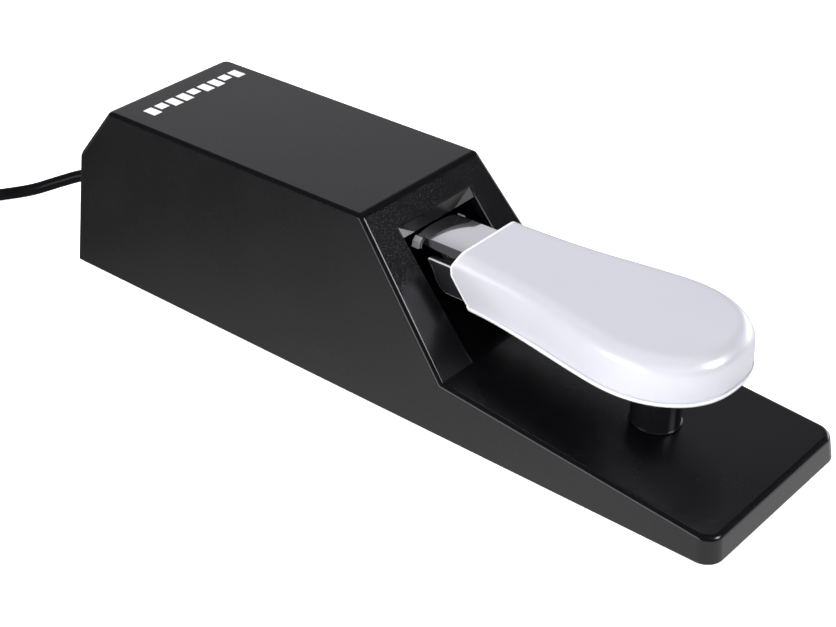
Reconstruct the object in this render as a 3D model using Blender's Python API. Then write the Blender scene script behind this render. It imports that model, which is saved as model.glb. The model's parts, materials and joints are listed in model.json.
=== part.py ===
"""Piano-style sustain pedal, modelled as an assembly of separate parts.

Frame: +Z up, the pedal points towards -Y, the cable leaves towards +Y, the width runs along X.
The origin is the middle of the bottom plate's underside.
Inside this script a place along the housing is given as its distance from the rear wall, and a
height is given above the housing's lower edge; the functions at() and up() turn both into the frame.
"""
import math

import bmesh
import bpy
from mathutils import Matrix, Vector

MM = 0.001
GAP = 0.3 * MM                      # clearance between two parts that touch

# Housing, side outline
LENGTH = 261.5 * MM
WIDTH = 66.0 * MM
HEIGHT = 59.6 * MM
DRAFT = 0.104                       # the walls lean in by this much per unit of height
REAR_WALL_TOP = 40.3 * MM
TOP_START = 20.3 * MM
TOP_END = 133.0 * MM
SLOPE_FOOT = 166.4 * MM
TONGUE_REAR_HEIGHT = 17.15 * MM
TONGUE_FRONT_HEIGHT = 7.96 * MM
WALL = 2.4 * MM
EDGE_ROUND = 1.5 * MM
CORNER_ROUND = 5.2 * MM
FOOT_PROUD = 1.5 * MM               # the feet lift the housing off the floor by this much

# Opening in the sloping front
OPENING_HALF = 16.35 * MM
OPENING_SHOULDER_HEIGHT = 50.2 * MM
OPENING_TOP_HEIGHT = 52.8 * MM
LIP_HALF = 8.9 * MM
LIP_HEIGHT = 48.2 * MM
LIP_PLACE = 138.2 * MM

# Pivot
PIVOT_PLACE = 52.0 * MM
PIVOT_HEIGHT = 30.0 * MM

# Lever
LEVER_START = 44.0 * MM
LEVER_TOP = 47.8 * MM
LEVER_BEND = 158.7 * MM             # from here the lever slopes down
LEVER_FALL = 0.0438                 # slope of the lever ahead of the bend
LEVER_HALF = 10.4 * MM
LEVER_SHEET = 2.0 * MM
LEVER_CROWN = 0.5 * MM              # the top face is this much lower at its edges
LEVER_NOSE_START = 218.0 * MM
LEVER_NOSE = 14.0 * MM
SHOULDER_WIDE = 2.0 * MM
SHOULDER_KNEE = 2.0 * MM
SHOULDER_DEEP = 4.6 * MM
EAR_DEPTH = 24.0 * MM
PAD_REAR = 138.6 * MM
PAD_FRONT = 141.4 * MM
PAD_THICK = 0.5 * MM
PAD_FALL = 2.9 * MM

# Bracket under the lever
BRACKET_INNER = 10.7 * MM
BRACKET_OUTER = 11.9 * MM
BRACKET_LOW = 33.4 * MM
BRACKET_TOP = 43.4 * MM
BRACKET_END = 200.0 * MM
BRACKET_SHEET = 1.3 * MM

# Pedal cap
CAP_REAR = 164.0 * MM
CAP_RIM_HEIGHT = 34.5 * MM
CAP_LENGTH = 82.1 * MM
CAP_REAR_HALF = 15.2 * MM
CAP_FRONT_HALF = 24.6 * MM
CAP_REAR_DEPTH = 16.4 * MM
CAP_FRONT_DEPTH = 13.4 * MM
CAP_SHEET = 1.4 * MM
CAP_EDGE = 4.5 * MM
CAP_LIP = 0.7 * MM
CAP_STRAIGHT = 47.2 * MM            # behind this the sides swell, ahead of it the nose closes
CAP_NOSE_POWER = 2.446
CAP_LEAN = 0.65 * MM
CAP_BULGE = 1.0 * MM                # the nose's wall swells out this far at half height
CAP_REAR_REACH = 7.8 * MM
CAP_REAR_KNEE = 9.9 * MM
CAP_SCREW_REAR = 176.0 * MM
CAP_SCREW_FRONT = 206.0 * MM
CAP_BOSS_RADIUS = 2.6 * MM
CAP_BOSS_HOLE = 3.0 * MM
CAP_BOSS_STAND = 2.6 * MM           # from the lever's top face into the cap's sheet
CAP_PILOT_RADIUS = 1.5 * MM

# Bottom plate and feet
PLATE_LOW = 0.6 * MM
PLATE_THICK = 2.4 * MM
PLATE_TOP = PLATE_LOW + PLATE_THICK
FIXING_LEVEL = PLATE_TOP + GAP      # underside of everything that stands on the plate
FOOT_RADIUS = 7.0 * MM
FOOT_SPREAD = 21.5 * MM
REAR_FOOT_PLACE = 32.0 * MM
FRONT_FOOT_PLACE = 220.0 * MM
FOOT_POCKET_TOP = 1.6 * MM

# Bottom screws and the bosses they go into
BOSS_SPREAD = 25.0 * MM
BOSS_RADIUS = 3.6 * MM
BOSS_HEIGHT = 24.0 * MM
FRONT_BOSS_HEIGHT = 8.5 * MM
REAR_BOSS_PLACE = 15.0 * MM
MID_BOSS_PLACE = 128.0 * MM
FRONT_BOSS_PLACE = 236.0 * MM
BOSS_PILOT_RADIUS = 1.7 * MM
BOTTOM_SEAT = 1.6 * MM
BOTTOM_SCREW_HEAD = 2.8 * MM
BOTTOM_SCREW_SHANK = 1.35 * MM

# Pivot frame, pin and bushes
FRAME_REAR = 41.0 * MM
FRAME_FRONT = 63.0 * MM
FRAME_SCREW_REAR = 44.5 * MM
FRAME_SCREW_FRONT = 59.5 * MM
FRAME_HALF = 14.6 * MM
FRAME_SHEET = 1.7 * MM
PIN_RADIUS = 2.5 * MM
PIN_GROOVE = 2.0 * MM
BUSH_INNER = 2.6 * MM
BUSH_OUTER = 3.8 * MM
BUSH_FLANGE = 5.6 * MM

# Stop post
POST_PLACE = 220.3 * MM
POST_RADIUS = 7.4 * MM
POST_TOP = 21.6 * MM
BUMPER_TOP = 24.1 * MM

# Return spring
SPRING_PLACE = 108.0 * MM
SPRING_LOW = 6.4 * MM
SPRING_HIGH = 43.0 * MM
SPRING_RADIUS = 5.2 * MM
SPRING_WIRE = 0.8 * MM
SPRING_TURNS = 8.5

# Switch
SWITCH_PLACE = 77.0 * MM
SWITCH_TOP = 41.4 * MM
SWITCH_HALF_LENGTH = 10.0 * MM
SWITCH_HALF_WIDTH = 3.2 * MM
SWITCH_HEIGHT = 10.2 * MM
SWITCH_HOLE_OFFSET = 4.75 * MM
SWITCH_HOLE_DROP = 7.3 * MM
SWITCH_HOLE_RADIUS = 1.25 * MM
PLUNGER_TOP = 45.2 * MM
HOLDER_NEAR = 3.5 * MM
HOLDER_SHEET = 1.4 * MM
HOLDER_FAR = 14.5 * MM
HOLDER_TOP = 38.5 * MM
HOLDER_SCREW_X = 11.0 * MM

# Polarity switch
POLARITY_PLACE = 31.5 * MM
POLARITY_TRAVEL = 3.0 * MM
POLARITY_TOP = 7.3 * MM
BOARD_THICK = 1.4 * MM

# Cable
CABLE_RADIUS = 2.2 * MM
CABLE_EXIT_HEIGHT = 14.0 * MM
OUTLET_RADIUS = 4.4 * MM
CLAMP_PLACE = 15.0 * MM
CLAMP_SCREW_X = 7.5 * MM
CLAMP_SHEET = 1.8 * MM
PLUG_X = -88.0 * MM
PLUG_PLACE = -80.2 * MM
PLUG_HEIGHT = 3.8 * MM

PARTS = bpy.data.collections.new("sustain_pedal")


def at(distance):
    """Frame Y of a place given as its distance from the rear wall."""
    return LENGTH / 2 - distance


def up(height):
    """Frame Z of a height above the housing's lower edge."""
    return height - PLATE_LOW


def clear_scene():
    for item in list(bpy.data.objects):
        bpy.data.objects.remove(item, do_unlink=True)
    bpy.context.scene.collection.children.link(PARTS)


def material(name, colour, roughness, metallic=0.0):
    mat = bpy.data.materials.get(name)
    if mat is None:
        mat = bpy.data.materials.new(name)
        mat.use_nodes = True
        shader = mat.node_tree.nodes["Principled BSDF"]
        shader.inputs["Base Color"].default_value = (*colour, 1.0)
        shader.inputs["Roughness"].default_value = roughness
        shader.inputs["Metallic"].default_value = metallic
        mat.diffuse_color = (*colour, 1.0)
    return mat


def black_plastic():
    return material("black_plastic", (0.022, 0.022, 0.024), 0.45)


def black_rubber():
    return material("black_rubber", (0.015, 0.015, 0.015), 0.8)


def chromed_steel():
    return material("chromed_steel", (0.75, 0.75, 0.77), 0.12, 1.0)


def satin_chrome():
    return material("satin_chrome", (0.80, 0.80, 0.83), 0.32, 1.0)


def zinc_steel():
    return material("zinc_steel", (0.55, 0.56, 0.57), 0.38, 1.0)


def black_steel():
    return material("black_steel", (0.03, 0.03, 0.032), 0.35, 0.6)


def white_nylon():
    return material("white_nylon", (0.75, 0.74, 0.70), 0.5)


def grey_felt():
    return material("grey_felt", (0.42, 0.42, 0.42), 0.95)


def board_green():
    return material("board_green", (0.03, 0.14, 0.06), 0.5)


def red_plastic():
    return material("red_plastic", (0.45, 0.05, 0.04), 0.45)


def add_object(name, shape, mat, smooth=35.0):
    """Turn a bmesh into a named object with one material."""
    bmesh.ops.recalc_face_normals(shape, faces=shape.faces)
    mesh = bpy.data.meshes.new(name)
    shape.to_mesh(mesh)
    shape.free()
    mesh.materials.append(mat)
    mesh.shade_smooth()
    mesh.set_sharp_from_angle(angle=math.radians(smooth))
    item = bpy.data.objects.new(name, mesh)
    PARTS.objects.link(item)
    return item


def combine(target, tool, operation="DIFFERENCE"):
    """Cut a tool from a target, or join it on, and drop the tool."""
    step = target.modifiers.new("combine", "BOOLEAN")
    step.operation = operation
    step.solver = "EXACT"
    step.object = tool
    bpy.context.view_layer.update()
    result = target.evaluated_get(bpy.context.evaluated_depsgraph_get())
    mesh = bpy.data.meshes.new_from_object(result)
    target.modifiers.remove(step)
    target.data = mesh
    bpy.data.objects.remove(tool, do_unlink=True)
    return target


def box_shape(x, y, z, shape=None):
    """A box from three (low, high) pairs, in frame coordinates."""
    shape = shape or bmesh.new()
    size = Vector((x[1] - x[0], y[1] - y[0], z[1] - z[0]))
    middle = Vector((x[0] + x[1], y[0] + y[1], z[0] + z[1])) / 2
    place = Matrix.Translation(middle) @ Matrix.Diagonal((*size, 1.0))
    bmesh.ops.create_cube(shape, size=1.0, matrix=place)
    return shape


def box(name, x, y, z, mat, round_edges=0.0):
    shape = box_shape(x, y, z)
    if round_edges:
        bmesh.ops.bevel(shape, geom=shape.edges[:], offset=round_edges, segments=2, affect="EDGES",
                        profile=0.5)
    return add_object(name, shape, mat)


def turned_shape(profile, place, axis="Z", segments=24):
    """Revolve (radius, height) points about an axis through a place. A radius of zero closes an end."""
    shape = bmesh.new()
    rings = []
    for radius, height in profile:
        if radius == 0.0:
            rings.append([shape.verts.new((0, 0, height))])
            continue
        ring = []
        for step in range(segments):
            angle = 2 * math.pi * step / segments
            ring.append(shape.verts.new((radius * math.cos(angle), radius * math.sin(angle), height)))
        rings.append(ring)
    for low, high in zip(rings, rings[1:]):
        bridge_rings(shape, low, high)
    turn = {"Z": Matrix.Identity(4),
            "X": Matrix.Rotation(math.pi / 2, 4, "Y"),
            "Y": Matrix.Rotation(-math.pi / 2, 4, "X")}[axis]
    shape.transform(Matrix.Translation(place) @ turn)
    return shape


def bridge_rings(shape, low, high):
    """Join two rings with faces. Either ring may be a single point."""
    count = max(len(low), len(high))
    for step in range(count):
        after = (step + 1) % count
        if len(low) == 1:
            shape.faces.new((low[0], high[after], high[step]))
        elif len(high) == 1:
            shape.faces.new((low[step], low[after], high[0]))
        else:
            shape.faces.new((low[step], low[after], high[after], high[step]))


def turned(name, profile, place, mat, axis="Z", segments=24):
    """A solid of revolution whose profile starts and ends on the axis."""
    return add_object(name, turned_shape(profile, place, axis, segments), mat)


def plain_drill(radius, low, high):
    """Profile of a plain round drill between two heights."""
    return [(0, low), (radius, low), (radius, high), (0, high)]


def tube_shape(outline, place, axis="Z", segments=24):
    """Revolve a closed (radius, height) outline that stays off the axis."""
    shape = turned_shape(outline + [outline[0]], place, axis, segments)
    bmesh.ops.remove_doubles(shape, verts=shape.verts[:], dist=1e-7)
    return shape


def loft_shape(sections):
    """Join closed sections of equal length into one capped solid."""
    shape = bmesh.new()
    rings = [[shape.verts.new(point) for point in section] for section in sections]
    for low, high in zip(rings, rings[1:]):
        bridge_rings(shape, low, high)
    shape.faces.new(list(reversed(rings[0])))
    shape.faces.new(rings[-1])
    bmesh.ops.recalc_face_normals(shape, faces=shape.faces)
    caps = [face for face in shape.faces if len(face.verts) > 4]
    bmesh.ops.triangulate(shape, faces=caps)
    return shape


def side_prism(outline, half_low, draft=0.0):
    """Extrude a (distance, height) outline across the width. The sides lean in by the draft."""
    sections = []
    for side in (-1, 1):
        sections.append([(side * (half_low - draft * height), at(place), up(height))
                         for place, height in outline])
    return loft_shape(sections)


def offset_outline(points, inset):
    """Move each line of a closed outline inwards by its own inset, and meet them again."""
    lines = []
    count = len(points)
    area = sum(points[i][0] * points[(i + 1) % count][1] - points[(i + 1) % count][0] * points[i][1]
               for i in range(count))
    turn = 1.0 if area > 0 else -1.0
    for i in range(count):
        start = Vector(points[i])
        along = (Vector(points[(i + 1) % count]) - start).normalized()
        normal = Vector((-along.y, along.x)) * turn
        lines.append((start + normal * inset[i], along))
    moved = []
    for i in range(count):
        base, along = lines[i - 1]
        other, other_along = lines[i]
        cross = along.x * other_along.y - along.y * other_along.x
        delta = other - base
        reach = (delta.x * other_along.y - delta.y * other_along.x) / cross
        moved.append(tuple(base + along * reach))
    return moved


def sweep_shape(points, radius, sides=12):
    """A round bar along a path, with capped ends."""
    points = [Vector(point) for point in points]
    sections = []
    normal = None
    for index, point in enumerate(points):
        before = points[max(index - 1, 0)]
        after = points[min(index + 1, len(points) - 1)]
        along = (after - before).normalized()
        if normal is None:
            normal = along.orthogonal().normalized()
        normal = (normal - along * normal.dot(along)).normalized()
        other = along.cross(normal)
        ring = []
        for step in range(sides):
            angle = 2 * math.pi * step / sides
            ring.append(point + radius * (normal * math.cos(angle) + other * math.sin(angle)))
        sections.append(ring)
    return loft_shape(sections)


def smooth_path(points, steps=6):
    """A Catmull-Rom curve through the given points."""
    points = [Vector(point) for point in points]
    ends = [2 * points[0] - points[1]] + points + [2 * points[-1] - points[-2]]
    path = []
    for index in range(1, len(ends) - 2):
        a, b, c, d = ends[index - 1:index + 3]
        for step in range(steps):
            t = step / steps
            path.append(0.5 * (2 * b + (c - a) * t + (2 * a - 5 * b + 4 * c - d) * t * t
                               + (3 * b - a - 3 * c + d) * t ** 3))
    path.append(points[-1])
    return path


# ---------------------------------------------------------------- housing

def housing_outline():
    return [(0.0, 0.0),
            (DRAFT * REAR_WALL_TOP, REAR_WALL_TOP),
            (TOP_START, HEIGHT),
            (TOP_END, HEIGHT),
            (SLOPE_FOOT, TONGUE_REAR_HEIGHT),
            (LENGTH - DRAFT * TONGUE_FRONT_HEIGHT, TONGUE_FRONT_HEIGHT),
            (LENGTH, 0.0)]


def slope_place(height):
    """Distance from the rear at which the sloping front has this height."""
    share = (HEIGHT - height) / (HEIGHT - TONGUE_REAR_HEIGHT)
    return TOP_END + share * (SLOPE_FOOT - TOP_END)


def round_housing(shape):
    """Round the upright front corners first, then every other outer edge but the lowest."""
    front = at(LENGTH) + 2 * MM
    corners = []
    for edge in shape.edges:
        low, high = sorted(edge.verts, key=lambda vert: vert.co.z)
        upright = high.co.z - low.co.z > 5 * MM
        if upright and low.co.y < front and high.co.y < front:
            corners.append(edge)
    bmesh.ops.bevel(shape, geom=corners, offset=CORNER_ROUND, segments=5, affect="EDGES", profile=0.5)
    shape.normal_update()
    edges = []
    for edge in shape.edges:
        on_floor = all(vert.co.z < up(0.01 * MM) for vert in edge.verts)
        if not on_floor and edge.is_manifold and edge.calc_face_angle_signed() > math.radians(21):
            edges.append(edge)
    bmesh.ops.bevel(shape, geom=edges, offset=EDGE_ROUND, segments=3, affect="EDGES", profile=0.5)


def opening_shapes():
    """The straight hole, and the pocket with its upright back and its two corner ledges."""
    rear = at(LIP_PLACE - 8 * MM)
    front = at(SLOPE_FOOT + 12 * MM)
    hole = [(-OPENING_HALF, TONGUE_REAR_HEIGHT), (-OPENING_HALF, OPENING_SHOULDER_HEIGHT),
            (-LIP_HALF, LIP_HEIGHT), (LIP_HALF, LIP_HEIGHT),
            (OPENING_HALF, OPENING_SHOULDER_HEIGHT), (OPENING_HALF, TONGUE_REAR_HEIGHT)]
    sections = [[(x, y, up(height)) for x, height in hole] for y in (rear, front)]
    hole_shape = loft_shape(sections)

    outward = Vector((0.0, -(HEIGHT - TONGUE_REAR_HEIGHT), SLOPE_FOOT - TOP_END)).normalized()
    pocket = bmesh.new()
    for side in (-1, 1):
        corner = Vector((side * OPENING_HALF, at(slope_place(OPENING_TOP_HEIGHT)), up(OPENING_TOP_HEIGHT)))
        ledge = Vector((side * OPENING_HALF, at(slope_place(OPENING_SHOULDER_HEIGHT)),
                        up(OPENING_SHOULDER_HEIGHT)))
        lip = Vector((side * LIP_HALF, at(LIP_PLACE), up(LIP_HEIGHT)))
        ahead = Vector((0.0, -22 * MM, -0.5 * MM))
        for point in (corner, ledge, lip, corner + outward * 10 * MM, ledge + ahead, lip + ahead):
            pocket.verts.new(point)
    bmesh.ops.convex_hull(pocket, input=pocket.verts[:])
    return hole_shape, pocket


def boss_places():
    """Where the bottom screws go: (x, distance from the rear, height of the boss)."""
    places = {}
    for side, label in ((-1, "left"), (1, "right")):
        places["rear_" + label] = (side * BOSS_SPREAD, REAR_BOSS_PLACE, BOSS_HEIGHT)
        places["mid_" + label] = (side * BOSS_SPREAD, MID_BOSS_PLACE, BOSS_HEIGHT)
        places["front_" + label] = (side * BOSS_SPREAD, FRONT_BOSS_PLACE, FRONT_BOSS_HEIGHT)
    return places


def upper_housing():
    mat = black_plastic()
    outline = housing_outline()
    shape = side_prism(outline, WIDTH / 2, DRAFT)
    bmesh.ops.dissolve_limit(shape, angle_limit=math.radians(0.1), verts=shape.verts[:],
                             edges=shape.edges[:])
    round_housing(shape)
    housing = add_object("upper_housing", shape, mat)

    open_below = -1.0 * MM
    cavity = offset_outline(outline, [WALL] * 6 + [open_below])
    inner = side_prism(cavity, WIDTH / 2 - WALL, DRAFT)
    combine(housing, add_object("cavity", inner, mat))

    # Block inside the slope that carries the opening's lip, and the rib above the lever
    half_wall = WALL / 2
    block_rear, block_low, block_high = 135.4 * MM, LIP_HEIGHT - 0.6 * MM, 54.5 * MM
    lip_block = [(block_rear, block_low), (block_rear, block_high),
                 (slope_place(block_high) - half_wall, block_high),
                 (slope_place(block_low) - half_wall, block_low)]
    combine(housing, add_object("lip_block", side_prism(lip_block, 19.0 * MM), mat), "UNION")
    rib = box_shape((-12 * MM, 12 * MM), (at(126 * MM), at(122 * MM)),
                    (up(51.1 * MM), up(HEIGHT - half_wall)))
    combine(housing, add_object("rib", rib, mat), "UNION")

    for x, place, height in boss_places().values():
        side = math.copysign(1.0, x)
        post = turned_shape([(0, FIXING_LEVEL), (BOSS_RADIUS, FIXING_LEVEL), (BOSS_RADIUS, height),
                             (0, height)], (x, at(place), up(0)), segments=16)
        combine(housing, add_object("boss", post, mat), "UNION")
        reach = (WIDTH / 2 - half_wall - DRAFT * height) * side
        web = box_shape(sorted((x, reach)), (at(place) - 1 * MM, at(place) + 1 * MM),
                        (up(FIXING_LEVEL), up(height - 0.5 * MM)))
        combine(housing, add_object("web", web, mat), "UNION")
        depth = 15 * MM if height > FRONT_BOSS_HEIGHT else height - 1.5 * MM
        drill = turned_shape(plain_drill(BOSS_PILOT_RADIUS, 1 * MM, depth), (x, at(place), up(0)),
                             segments=12)
        combine(housing, add_object("drill", drill, mat))

    for shape in opening_shapes():
        combine(housing, add_object("opening", shape, mat))

    outlet = turned_shape(plain_drill(OUTLET_RADIUS, -6 * MM, 4 * MM), (0, at(0), up(CABLE_EXIT_HEIGHT)),
                          "Y", 20)
    combine(housing, add_object("outlet", outlet, mat))
    post_hole = turned_shape(plain_drill(1.8 * MM, 0, 30 * MM), (0, at(POST_PLACE), up(FIXING_LEVEL)),
                             segments=16)
    combine(housing, add_object("post_hole", post_hole, mat))
    housing.data.set_sharp_from_angle(angle=math.radians(32))
    return housing


def rounded_plan(half, rear, front, corner, height, segments=5):
    """A plan outline with rounded front corners, at one height."""
    points = [(-half, at(rear), up(height))]
    for side, start in ((-1, math.pi), (1, 1.5 * math.pi)):
        for step in range(segments + 1):
            angle = start + step * math.pi / 2 / segments
            x = side * (half - corner) + corner * math.cos(angle)
            y = at(front) + corner + corner * math.sin(angle)
            points.append((x, y, up(height)))
    points.append((half, at(rear), up(height)))
    return points


def bottom_plate():
    edge = WALL + GAP
    sections = []
    for height in (PLATE_LOW, PLATE_TOP):
        lean = DRAFT * height
        sections.append(rounded_plan(WIDTH / 2 - edge - lean, edge + lean, LENGTH - edge - lean,
                                     CORNER_ROUND - WALL, height))
    plate = add_object("bottom_plate", loft_shape(sections), black_plastic())
    stepped = [(0, -1.0), (3.2, -1.0), (3.2, 1.6), (1.9, 1.6), (1.9, 6.0), (0, 6.0)]
    for x, place, height in boss_places().values():
        drill = turned_shape([(radius * MM, level * MM) for radius, level in stepped],
                             (x, at(place), up(0)), segments=16)
        combine(plate, add_object("drill", drill, black_plastic()))
    for x, place in foot_places().values():
        pocket = turned_shape(plain_drill(FOOT_RADIUS + GAP, -1 * MM, FOOT_POCKET_TOP),
                              (x, at(place), up(0)), segments=28)
        combine(plate, add_object("pocket", pocket, black_plastic()))
    slot = box_shape((-5 * MM, 5 * MM), (at(POLARITY_PLACE) - 2 * MM, at(POLARITY_PLACE) + 2 * MM),
                     (up(0), up(5 * MM)))
    combine(plate, add_object("slot", slot, black_plastic()))
    for x, place in small_screw_places():
        drill = turned_shape(plain_drill(1.3 * MM, 1.2 * MM, 5 * MM), (x, at(place), up(0)), segments=12)
        combine(plate, add_object("drill", drill, black_plastic()))
    plate.data.set_sharp_from_angle(angle=math.radians(32))
    return plate


def foot_places():
    places = {}
    for side, label in ((-1, "left"), (1, "right")):
        places["rear_" + label] = (side * FOOT_SPREAD, REAR_FOOT_PLACE)
        places["front_" + label] = (side * FOOT_SPREAD, FRONT_FOOT_PLACE)
    return places


def small_screw_places():
    """Blind holes in the plate's upper face for the inner screws."""
    return [(0.0, FRAME_SCREW_REAR), (0.0, FRAME_SCREW_FRONT)] + holder_screw_places() \
        + [(CLAMP_SCREW_X, CLAMP_PLACE)]


def holder_screw_places():
    return [(HOLDER_SCREW_X, SWITCH_PLACE - 5 * MM), (HOLDER_SCREW_X, SWITCH_PLACE + 5 * MM)]


def feet():
    for label, (x, place) in foot_places().items():
        edge, top = 0.6 * MM, FOOT_POCKET_TOP - GAP
        profile = [(0, -FOOT_PROUD), (FOOT_RADIUS - edge, -FOOT_PROUD), (FOOT_RADIUS, edge - FOOT_PROUD),
                   (FOOT_RADIUS, top), (0, top)]
        turned("rubber_foot_" + label, profile, (x, at(place), up(0)), black_rubber(), segments=28)


def screw(name, place, head, shank, length, mat, axis="Z", sign=1, segments=12):
    """A pan-head screw with a cross recess. Its head's seat is at the place."""
    thick = head * 0.42
    profile = [(0, -thick), (head * 0.62, -thick), (head, -thick * 0.45), (head, 0), (shank, 0),
               (shank, length - shank * 0.8), (shank * 0.3, length), (0, length)]
    profile = [(radius, height * sign) for radius, height in profile]
    item = turned(name, profile, place, mat, axis, segments)
    for turn in (0, 1):
        arm = [(-head * 0.55, head * 0.55), (-head * 0.11, head * 0.11)]
        if turn:
            arm.reverse()
        depth = sorted((-thick * 1.3 * sign, -thick * 0.4 * sign))
        cut = {"Z": (arm[0], arm[1], depth),
               "X": (depth, arm[0], arm[1]),
               "Y": (arm[0], depth, arm[1])}[axis]
        cut = [(low + centre, high + centre) for (low, high), centre in zip(cut, place)]
        combine(item, add_object("slot", box_shape(*cut), mat))
    item.data.set_sharp_from_angle(angle=math.radians(32))
    return item


def bottom_screws():
    for label, (x, place, height) in boss_places().items():
        length = 10.0 * MM if height > FRONT_BOSS_HEIGHT else 5.2 * MM
        screw("bottom_screw_" + label, (x, at(place), up(BOTTOM_SEAT - GAP)), BOTTOM_SCREW_HEAD,
              BOTTOM_SCREW_SHANK, length, zinc_steel())


# ---------------------------------------------------------------- pivot

def pivot_frame():
    mat = zinc_steel()
    floor_top = FIXING_LEVEL + FRAME_SHEET
    shape = box_shape((-FRAME_HALF, FRAME_HALF), (at(FRAME_FRONT), at(FRAME_REAR)),
                      (up(FIXING_LEVEL), up(floor_top)))
    frame = add_object("pivot_frame", shape, mat)
    for side in (-1, 1):
        profile = [(FRAME_REAR, FIXING_LEVEL), (FRAME_FRONT, FIXING_LEVEL), (58 * MM, 32 * MM),
                   (55 * MM, 35.5 * MM), (49 * MM, 35.5 * MM), (46 * MM, 32 * MM)]
        sections = []
        for x in (FRAME_HALF - FRAME_SHEET, FRAME_HALF):
            sections.append([(side * x, at(place), up(height)) for place, height in profile])
        combine(frame, add_object("ear", loft_shape(sections), mat), "UNION")
    hole = turned_shape(plain_drill(PIN_RADIUS + 0.1 * MM, -20 * MM, 20 * MM),
                        (0, at(PIVOT_PLACE), up(PIVOT_HEIGHT)), "X", 20)
    combine(frame, add_object("hole", hole, mat))
    screws = ((FRAME_SCREW_REAR, "rear"), (FRAME_SCREW_FRONT, "front"))
    for place, label in screws:
        drill = turned_shape(plain_drill(1.7 * MM, 0, 8 * MM), (0, at(place), up(0)), segments=12)
        combine(frame, add_object("drill", drill, mat))
    frame.data.set_sharp_from_angle(angle=math.radians(32))
    for place, label in screws:
        screw("frame_screw_" + label, (0, at(place), up(floor_top + GAP)), 2.6 * MM, 1.1 * MM, 3.7 * MM,
              zinc_steel(), sign=-1)


def pivot_pin():
    place = (0, at(PIVOT_PLACE), up(PIVOT_HEIGHT))
    radius = PIN_RADIUS
    seat = -FRAME_HALF - GAP
    profile = [(0, -17.0 * MM), (3.6 * MM, -17.0 * MM), (4.0 * MM, -16.6 * MM), (4.0 * MM, seat),
               (radius, seat), (radius, 15.2 * MM), (PIN_GROOVE, 15.2 * MM), (PIN_GROOVE, 16.2 * MM),
               (radius, 16.2 * MM), (radius, 17.4 * MM), (radius - 0.5 * MM, 17.9 * MM), (0, 17.9 * MM)]
    turned("pivot_pin", profile, place, zinc_steel(), "X", 20)
    pin_clip(place)


def pin_clip(place):
    """Open ring that snaps into the pin's groove."""
    shape = bmesh.new()
    rings = []
    count = 20
    for x in (15.35 * MM, 16.05 * MM):
        for reach in (PIN_GROOVE + GAP, 4.4 * MM):
            ring = []
            for step in range(count + 1):
                angle = math.radians(-120 + 240 * step / count)
                ring.append(shape.verts.new((x, place[1] + reach * math.sin(angle),
                                             place[2] + reach * math.cos(angle))))
            rings.append(ring)
    for a, b in ((0, 1), (1, 3), (3, 2), (2, 0)):
        for step in range(count):
            shape.faces.new((rings[a][step], rings[a][step + 1], rings[b][step + 1], rings[b][step]))
    for step in (0, count):
        shape.faces.new((rings[0][step], rings[1][step], rings[3][step], rings[2][step]))
    add_object("pin_clip", shape, black_steel())


def pivot_bushes(parent):
    for side, label in ((-1, "left"), (1, "right")):
        outline = [(BUSH_INNER, 8.0), (BUSH_OUTER, 8.0), (BUSH_OUTER, 10.7), (BUSH_FLANGE, 10.7),
                   (BUSH_FLANGE, 12.2), (BUSH_INNER, 12.2)]
        outline = [(radius, side * x * MM) for radius, x in outline]
        shape = tube_shape(outline, (0, at(PIVOT_PLACE), up(PIVOT_HEIGHT)), "X", 20)
        ride(add_object("pivot_bush_" + label, shape, white_nylon()), parent)


def ride(item, parent):
    """Parent a finished object to a joint's empty without moving it."""
    bpy.context.view_layer.update()
    item.parent = parent
    item.matrix_parent_inverse = parent.matrix_world.inverted()
    return item


def joint_empty(name, place):
    item = bpy.data.objects.new(name, None)
    item.location = place
    PARTS.objects.link(item)
    bpy.context.view_layer.update()
    return item


# ---------------------------------------------------------------- lever

def lever_top(place):
    return LEVER_TOP - max(place - LEVER_BEND, 0.0) * LEVER_FALL


def lever_depth(place):
    """Depth of the lever's side flanges below its top face."""
    stops = [(LEVER_START, EAR_DEPTH), (62 * MM, EAR_DEPTH), (80 * MM, 6.0 * MM), (100 * MM, 3.6 * MM),
             (142 * MM, 3.6 * MM), (153 * MM, 5.6 * MM), (158 * MM, 5.6 * MM), (160 * MM, 2.6 * MM),
             (LEVER_NOSE_START + LEVER_NOSE, 2.6 * MM)]
    for (start, first), (end, last) in zip(stops, stops[1:]):
        if place <= end:
            return first + (last - first) * (place - start) / (end - start)
    return stops[-1][1]


def shoulder_line(place, half=LEVER_HALF):
    """The two flats of the right shoulder, from the top face's edge down, as (x, height)."""
    edge = lever_top(place) - LEVER_CROWN
    knee = SHOULDER_KNEE * min(SHOULDER_DEEP, lever_depth(place) - 0.4 * MM) / SHOULDER_DEEP
    return [(half - SHOULDER_WIDE, edge), (half - 0.5 * MM, edge - knee), (half - 0.1 * MM, edge - 2 * knee)]


def lever_section(place, half=LEVER_HALF):
    """Inverted channel with a slightly crowned top and two flats on each shoulder."""
    top = lever_top(place)
    low = top - lever_depth(place)
    ceiling = top - LEVER_SHEET
    crest = [(0.0, top), ((half - SHOULDER_WIDE) / 2, top - LEVER_CROWN / 4)]
    right = crest + shoulder_line(place, half) + [(half, low)]
    left = [(-x, height) for x, height in reversed(right[1:])]
    inner_half = half - LEVER_SHEET
    under = [(inner_half, low), (inner_half, max(ceiling - 1.0 * MM, low + 0.1 * MM)),
             (inner_half - 1.0 * MM, ceiling)]
    under += [(-x, height) for x, height in reversed(under)]
    return [(x, at(place), up(height)) for x, height in left + right + under]


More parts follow.
